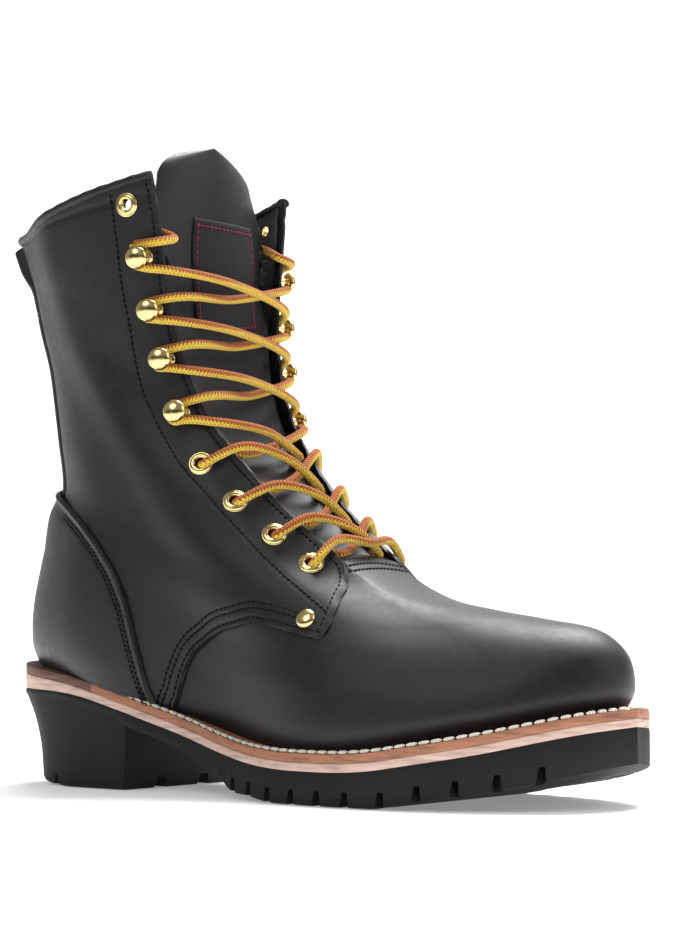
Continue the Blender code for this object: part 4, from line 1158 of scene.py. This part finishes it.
class BootTongue(bpy.types.Operator):
    """Tongue with its rounded top, and the bare woven patch sewn to it."""

    bl_idname = "boot.tongue"
    bl_label = "Tongue"

    def execute(self, context):
        thick = size("tongue")

        def tongue(u, v):
            crown = np.clip((v - 0.86) / 0.14, 0, 1)
            t = np.clip(v / 0.86, 0, 1)
            side = 2 * u - 1
            base = tongue_point(t, side, np.full(len(u), thick))
            middle = tongue_point(t, 0 * side, np.full(len(u), thick))
            a = crown * np.pi / 2
            shrink = np.maximum(np.cos(a), 0.12)
            base[:, 0] = middle[:, 0] + (base[:, 0] - middle[:, 0]) * (0.55 + 0.45 * shrink)
            base[:, 1] = middle[:, 1] + (base[:, 1] - middle[:, 1]) * shrink
            rise = TONGUE_CROWN * np.sin(a)
            base[:, 2] += rise
            base[:, 0] -= rise * 0.12
            # soft leather rolls in and out a little between the laces
            base[:, 0] += 0.5 * np.sin(t * 21 + side * 1.3) * (1 - side**2) * (t < 0.8)
            return base

        leather = laid_sheet("tongue_leather", tongue, 70, 160, thick, face_front=True)
        apply_modifier(leather, "BEVEL", width=0.7 * MM, segments=2, limit_method="ANGLE", angle_limit=1.0)
        dress(leather, "soft_cowhide", "black_leather", "tongue")

        def patch(u, v):
            t, side = 0.77 + v * 0.175, -0.60 + u
            edge = np.minimum(np.minimum(u, 1 - u) * 40, np.minimum(v, 1 - v) * 45)
            out = thick + 0.3 + 0.7 * eased(edge) - dents(edge, (2.4,), 0.15)
            return tongue_point(t, side, out)

        label = laid_sheet("tongue_patch", patch, 70, 80, 0.7, face_front=True)
        dress(label, "woven_patch", "label_cloth", "tongue_label")
        ring = []
        for u, v in ((0.06, 0.055), (0.94, 0.055), (0.94, 0.945), (0.06, 0.945), (0.06, 0.055)):
            ring.append((0.77 + v * 0.175, -0.60 + u))
        seams = []
        for (t0, s0), (t1, s1) in zip(ring, ring[1:]):
            ends = tongue_point(np.array([t0, t1]), np.array([s0, s1]), np.full(2, thick))
            count = int(np.linalg.norm(ends[1] - ends[0]) / 2.4)
            t, side = np.linspace(t0, t1, count), np.linspace(s0, s1, count)
            out = np.full(count, thick + 1.0)
            seams.append((tongue_point(t, side, out), tongue_normal(t, side, out)))
        border = stitched("patch_stitches", seams, (2.0, 0.8, 0.7), stitch_shape())
        dress(border, "patch_thread", "label_cloth", smooth=60)
        return {"FINISHED"}


class BootStitching(bpy.types.Operator):
    """Rows of waxed thread along the quarters, facings, eyestay, counter, back strip and throat."""

    bl_idname = "boot.stitching"
    bl_label = "Stitching"

    def execute(self, context):
        pitch, thread, base = size("stitch"), size("thread"), size("leather")
        long = (pitch * 0.8, thread, thread * 0.9)
        short = (pitch * 0.68, thread, thread)
        edge = quarter_outline()
        lower, front = seam_line(QUARTER_EDGE, 0.6), seam_line(QUARTER_FRONT, 0.6)
        quarter = [(*moved_seam(*lower, by, edge), base, pitch) for by in QUARTER_ROWS]
        facing = [(*moved_seam(*front, FACING_ROW, edge), base, pitch)]
        facing.append((*seam_line(EYESTAY_SEAM), base + 0.05, pitch))
        row, angle = seam_line(COUNTER_FRONT, 0.6)
        top = np.linspace(COUNTER_TOP[0][0], np.pi, 300)
        row, angle = np.r_[row, curve(top, COUNTER_TOP)], np.r_[angle, top]
        counter = [(*moved_seam(row, angle, by), base + 1.05, pitch * 0.85) for by in COUNTER_ROWS]
        strip = []
        for by in STRIP_ROWS:
            row, angle = moved_seam(*seam_line(BACKSTAY_EDGE, 0.6), by)
            keep = (row > 5.05) & (row < 9.8)
            strip.append((row[keep], angle[keep], base + 1.0, pitch))
        angle = np.linspace(0.0, 0.6, 60)
        arch = THROAT_ROW + throat_arch(angle) * 0.8
        throat = [(arch - below / THROAT_ROW_HEIGHT, angle, 0.0, pitch) for below in (2.2, 4.0)]
        shape = stitch_shape()
        for name, seams, stitch in (
            ("quarter", quarter, long), ("facing", facing, long), ("counter", counter, short),
            ("strip", strip, long), ("throat", throat, long),
        ):
            both_sides = sum((seam_stitches(*seam) for seam in seams), [])
            thread_rows = stitched(name + "_stitches", both_sides, stitch, shape, 0.12)
            dress(thread_rows, "upper_thread", "black_leather", smooth=60)
        return {"FINISHED"}


class BootHardware(bpy.types.Operator):
    """Brass eyelets, lace hooks and the rivet at each quarter's tip."""

    bl_idname = "boot.hardware"
    bl_label = "Hardware"

    def execute(self, context):
        ring, bore, head, cap = (size(n) / 2 for n in ("eyelet", "bore", "hook", "rivet"))
        eyelet = lathe("eyelet_master", [
            (bore, -3.4), (bore, 0.35), (bore + 0.15, 0.8), (bore + 0.6, 1.15), (bore + 1.1, 1.22),
            (ring - 1.2, 1.0), (ring - 0.75, 0.72), (ring - 0.6, 0.5), (ring - 0.45, 0.52),
            (ring - 0.12, 0.42), (ring, 0.22), (ring, 0.0), (bore + 0.4, 0.0), (bore + 0.4, -3.4),
        ], 44, True)
        swell = [(a, math.sin(a), math.cos(a)) for a in np.linspace(0.18, np.pi * 0.80, 12)]
        ball = [(head * s, 7.4 + (2.9 if c > 0 else 2.2) * c) for a, s, c in swell]
        hook = lathe("hook_master", [
            (0, 10.35), *ball, (2.4, 5.35), (1.9, 5.0), (1.8, 2.0), (2.1, 1.3), (3.0, 1.0), (4.3, 0.85),
            (4.75, 0.55), (4.85, 0.0), (0, 0.0),
        ], 44)
        rivet = lathe("rivet_master", [
            (0, 1.9), (cap * 0.3, 1.84), (cap * 0.6, 1.6), (cap * 0.82, 1.2), (cap * 0.95, 0.7), (cap, 0.3),
            (cap * 0.97, 0.0), (0, 0.0),
        ], 40)
        base = size("leather")
        for side in SIDES:
            for k, (kind, row, angle) in enumerate(FASTENINGS):
                node = f"{kind}_{side}_{k + 1}"
                master = eyelet if kind == "eyelet" else hook
                piece = placed_copy(master, "brass_" + node, *spot(row, sided(angle, side), base))
                dress(piece, "polished_brass", "brass", node, smooth=50)
            place = spot(RIVET_PLACE[0], sided(RIVET_PLACE[1], side), base - 0.1)
            piece = placed_copy(rivet, "brass_rivet_" + side, *place)
            dress(piece, "polished_brass", "brass", "rivet_" + side, smooth=50)
        for master in (eyelet, hook, rivet):
            bpy.data.objects.remove(master)
        return {"FINISHED"}


def edge_row(k):
    """Row where the facing's edge is nearest to fastening k."""
    rows = np.linspace(THROAT_ROW, COLLAR_ROW, 400)
    edge = bare_point(rows, curve(rows, FACING_EDGE))
    return float(rows[np.linalg.norm(edge - bare_point(*FASTENINGS[k][1:]), axis=1).argmin()])


def level_row(k, rise):
    """Row where the facing's edge is as high as fastening k and a rise above it."""
    rows = np.linspace(THROAT_ROW, COLLAR_ROW, 400)
    heights = bare_point(rows, curve(rows, FACING_EDGE))[:, 2]
    return float(np.interp(bare_point(*FASTENINGS[k][1:])[2] + rise, heights, rows))


def over_tongue(near, far, lift, share=0.26):
    """Point over the tongue's middle, moved forward to clear it by lift, at a share of the way in height."""
    t = np.linspace(0, 1, 160)
    face = tongue_point(t, 0 * t, size("tongue") + size("lace") / 2)
    middle = (near + far) / 2
    middle[2] = near[2] + (far[2] - near[2]) * share
    middle[0] = max(middle[0] + 1.0, np.interp(middle[2], face[:, 2], face[:, 0])) + lift
    return middle


def around_hook(k, side):
    """Marks of a lace round a hook's neck, from its lower side round its back to its upper side."""
    row, angle = FASTENINGS[k][1:]
    centre, normal, rise = spot(row, sided(angle, side), size("leather") + 3.2)
    back = np.cross(normal, rise)
    if np.dot(back, bare_point(row, sided(angle + 0.1, side)) - bare_point(row, sided(angle, side))) < 0:
        back = -back
    reach = 1.8 + size("lace") / 2
    turns = np.radians((-90, -45, 0, 45, 90))
    return [centre + reach * (math.sin(a) * rise + math.cos(a) * back) for a in turns]


def lace_start(side):
    """Mark over the top hook where the lace's tucked end begins."""
    row, angle = FASTENINGS[1][1:]
    return spot(row, sided(angle + 0.03, side), HOOK_LACE_OUT, HOOK_SIDE)[0]


def facing_mark(row, beside, side, out):
    """Point beside the facing's edge, at an angle behind it and a distance out from the vamp."""
    return spot(row, sided(float(curve(row, FACING_EDGE)) + beside, side), out)[0]


def strand(low, low_side, high_side, lift):
    """Marks of a strand from fastening low, over the tongue, to the one above on the other side."""
    high = low - 1
    over = size("leather") + size("lace") / 2
    low_kind, low_row, low_angle = FASTENINGS[low]
    high_kind, _, high_angle = FASTENINGS[high]
    start = level_row(low, HOOK_LACE_RISE) if low_kind == "hook" else edge_row(low)
    end = level_row(high, -HOOK_LACE_RISE) if high_kind == "hook" else edge_row(high)
    # the strand is taken as even in row from fastening to fastening, and crosses both edges on its way
    whole = (low_angle + high_angle) / (end - start)
    leave = start + (low_angle - float(curve(start, FACING_EDGE))) / whole
    arrive = end - (high_angle - float(curve(end, FACING_EDGE))) / whole
    arrival = facing_mark(arrive, 0.0, high_side, over + (0.5 if high_kind == "hook" else 0.7))
    if low_kind == "hook":
        marks = [around_hook(low, low_side)[-1], facing_mark(leave, 0.0, low_side, over + 0.5)]
    else:
        marks = [spot(low_row, sided(low_angle, low_side), -4.4)[0]]
        for beside, out in UNDER_FACING:
            marks.append(facing_mark(leave, beside, low_side, out))
    ends = (marks[-1], arrival) if low_side == "lateral" else (arrival, marks[-1])
    marks += [over_tongue(*ends, lift), arrival]
    if high_kind == "hook":
        hook = around_hook(high, high_side)
        return marks + (hook[:4] + [lace_start(high_side)] if high == 1 else hook)
    return marks + into_eyelet(high, high_side, arrival)


def into_eyelet(k, side, arrival):
    """Marks of a lace from over the facing's edge to an eyelet's ring and down its bore."""
    row, angle = FASTENINGS[k][1:]
    over = size("leather") + size("lace") / 2
    ring = spot(row, sided(angle - 0.03, side), over + 0.4)[0]
    return [
        (arrival + ring) / 2 + 0.8 * leather_normal(row, sided(angle - 0.1, side)),
        ring,
        spot(row, sided(angle, side), -0.6)[0],
        spot(row, sided(angle, side), -4.0)[0],
    ]


def bar_half(side):
    """Marks of the bottom bar from over the tongue's edge to its eyelet."""
    last = len(FASTENINGS) - 1
    row = edge_row(last)
    first = facing_mark(row, 0.0, side, size("leather") + size("lace") / 2 + 0.7)
    return [first] + into_eyelet(last, side, first)


class BootLaces(bpy.types.Operator):
    """Round braided lace: bottom bar, crossings up the throat and the two ends tucked in."""

    bl_idname = "boot.laces"
    bl_label = "Laces"

    def execute(self, context):
        radius = size("lace") / 2
        last = len(FASTENINGS) - 1
        near, far = bar_half("lateral"), bar_half("medial")
        marks = near[::-1] + [over_tongue(near[0], far[0], 2.6, 0.5)] + far
        bar = cord_mesh("lace_bottom_bar", smooth_path(marks), radius)
        dress(bar, "braided_lace", "lace_cord", "lace_bar", smooth=60)
        for low in range(last, 1, -1):
            above = LACE_LIFT + 1.02 * size("lace")
            ways = (("lateral", "medial", LACE_LIFT), ("medial", "lateral", above))
            strands = [cord_mesh("strand", smooth_path(strand(low, *way)), radius) for way in ways]
            crossing = joined(f"lace_crossing_{low - 1}", strands)
            dress(crossing, "braided_lace", "lace_cord", f"lace_cross_{low - 1}", smooth=60)
        for side in SIDES:
            edge = FASTENINGS[1][1] + 0.03
            inside = -(LINING_WALL + 2.15 + 2 * GAP)
            facing = float(curve(edge, FACING_EDGE))
            marks = [
                lace_start(side),
                spot(edge, sided(facing, side), 1.3 + 2.15 + 5 * GAP, 6.5)[0],
                spot(edge, sided(facing - 0.10, side), -0.4, 8.5)[0],
                spot(edge, sided(facing + 0.10, side), inside, 11.0)[0],
                spot(edge, sided(facing + 0.40, side), inside, 14.0)[0],
            ]
            path = smooth_path(marks)
            end = cord_mesh(f"lace_tucked_end_{side}", path, radius)
            dress(end, "braided_lace", "lace_cord", f"lace_end_{side}", smooth=60)
            size("lace") * MM
        return {"FINISHED"}


class BootStage(bpy.types.Operator):
    """Pale studio floor and backdrop, soft lights and the camera at the photograph's angle."""

    bl_idname = "boot.stage"
    bl_label = "Stage"

    def execute(self, context):
        clear_selection()
        bpy.ops.mesh.primitive_grid_add(x_subdivisions=8, y_subdivisions=60, size=2)
        floor = bpy.context.object
        floor.name = "studio_floor"
        back = math.radians(VIEW_TURN)
        ahead = Vector((-math.sin(back), math.cos(back), 0))
        across = Vector((math.cos(back), math.sin(back), 0))
        for v in floor.data.vertices:
            along = v.co.y * FLOOR_HALF_LENGTH
            bend = max(along - SWEEP_START, 0.0)
            arc = min(bend, SWEEP_RUN) / SWEEP_RADIUS
            lift = SWEEP_RADIUS * (1 - math.cos(arc)) + max(bend - SWEEP_RUN, 0) - GAP * MM
            flat = min(along, SWEEP_START) + SWEEP_RADIUS * math.sin(arc)
            v.co = across * v.co.x * FLOOR_HALF_WIDTH + ahead * flat + Vector((0, 0, lift))
        white = (1.0, 1.0, 1.0, 1.0)
        add = new_material(
            "matt_paper", Roughness=0.9, Specular_IOR_Level=0.1, Emission_Color=white,
            Emission_Strength=FLOOR_GLOW,
        )
        tone = list(context.scene.boot_colours.floor)
        grain = add("TexNoise", Scale=3.0)
        add("ValToRGB", Fac=grain, stops=[(0.0, shaded(tone, 0.99)), (1.0, tone)], into="Base Color")
        floor.data.materials.append(bpy.data.materials["matt_paper"])
        soften(floor)
        world = bpy.data.worlds.new("studio")
        context.scene.world = world
        context.scene.view_settings.view_transform = "Standard"
        world.use_nodes = True
        sky = world.node_tree.nodes["Background"]
        sky.inputs["Color"].default_value = white
        sky.inputs["Strength"].default_value = SKY_STRENGTH
        aim = Vector(LIGHTS_AIM)
        # dark card behind the camera, which the brass mirrors as a band across its middle
        clear_selection()
        bpy.ops.mesh.primitive_grid_add(x_subdivisions=24, y_subdivisions=2, size=2)
        card = bpy.context.object
        card.name = "dark_card"
        for v in card.data.vertices:
            toward = back + math.radians(CARD_TURN) * v.co.x
            high = CARD_MIDDLE + CARD_HALF_HEIGHT * v.co.y
            v.co = Vector((math.sin(toward) * CARD_DISTANCE, -math.cos(toward) * CARD_DISTANCE, high))
        add = new_material("black_felt", Roughness=0.95)
        nap = add("TexNoise", Scale=40.0)
        add("ValToRGB", Fac=nap, stops=[(0.0, grey(0.01)), (1.0, grey(0.03))], into="Base Color")
        card.data.materials.append(bpy.data.materials["black_felt"])
        card.visible_camera = False
        for name, turn, high, far, wide, power in LIGHTS:
            bpy.ops.object.light_add(type="AREA", location=(0, 0, 0))
            light = bpy.context.object
            light.name = "light_" + name
            light.data.energy = power
            light.data.shape = "DISK"
            light.data.size = wide
            toward = back + math.radians(turn)
            away = Vector((math.sin(toward), -math.cos(toward), 0)) * far
            light.location = aim + away + Vector((0, 0, high))
            light.rotation_euler = (aim - light.location).to_track_quat("-Z", "Y").to_euler()
        camera = bpy.data.objects.new("camera", bpy.data.cameras.new("camera"))
        context.scene.collection.objects.link(camera)
        pitch = math.radians(VIEW_PITCH)
        look = ahead * math.cos(pitch) + Vector((0, 0, math.sin(pitch)))
        stand = Vector((VIEW_AIM - ORIGIN_FROM_HEEL, 0, VIEW_HEIGHT))
        stand = (stand - ahead * VIEW_DISTANCE + across * VIEW_SHIFT) * MM
        camera.location = stand
        camera.rotation_euler = look.to_track_quat("-Z", "Y").to_euler()
        camera.data.sensor_width = SENSOR
        camera.data.lens = FOCAL_PIXELS / IMAGE_LONG_SIDE * SENSOR
        camera.data.clip_start = 0.01
        camera.data.dof.use_dof = False
        context.scene.camera = camera
        return {"FINISHED"}


OPERATORS = (
    BootStage, BootSole, BootWeltStitch, BootUpper, BootOverlays, BootTongue, BootStitching, BootHardware,
    BootLaces,
)


class BootPanel(bpy.types.Panel):
    """Sizes, colours and steps of the boot in the sidebar."""

    bl_idname = "BOOT_PT_main"
    bl_label = "Logger Boot"
    bl_space_type = "VIEW_3D"
    bl_region_type = "UI"
    bl_category = "Boot"

    def draw(self, context):
        for group in (context.scene.boot_sizes, context.scene.boot_colours):
            box = self.layout.box()
            for key in type(group).__annotations__:
                box.prop(group, key)
        for operator in OPERATORS:
            self.layout.operator(operator.bl_idname)


CLASSES = (BootSizes, BootColours, *OPERATORS, BootPanel)


def register():
    for item in CLASSES:
        bpy.utils.register_class(item)
    bpy.types.Scene.boot_sizes = bpy.props.PointerProperty(type=BootSizes)
    bpy.types.Scene.boot_colours = bpy.props.PointerProperty(type=BootColours)


def unregister():
    del bpy.types.Scene.boot_sizes
    del bpy.types.Scene.boot_colours
    for item in reversed(CLASSES):
        bpy.utils.unregister_class(item)


def main():
    register()
    bpy.ops.boot.stage()
    bpy.ops.boot.sole()
    bpy.ops.boot.welt_stitch()
    bpy.ops.boot.upper()
    bpy.ops.boot.overlays()
    bpy.ops.boot.tongue()
    bpy.ops.boot.stitching()
    bpy.ops.boot.hardware()
    bpy.ops.boot.laces()


if __name__ == "__main__":
    main()
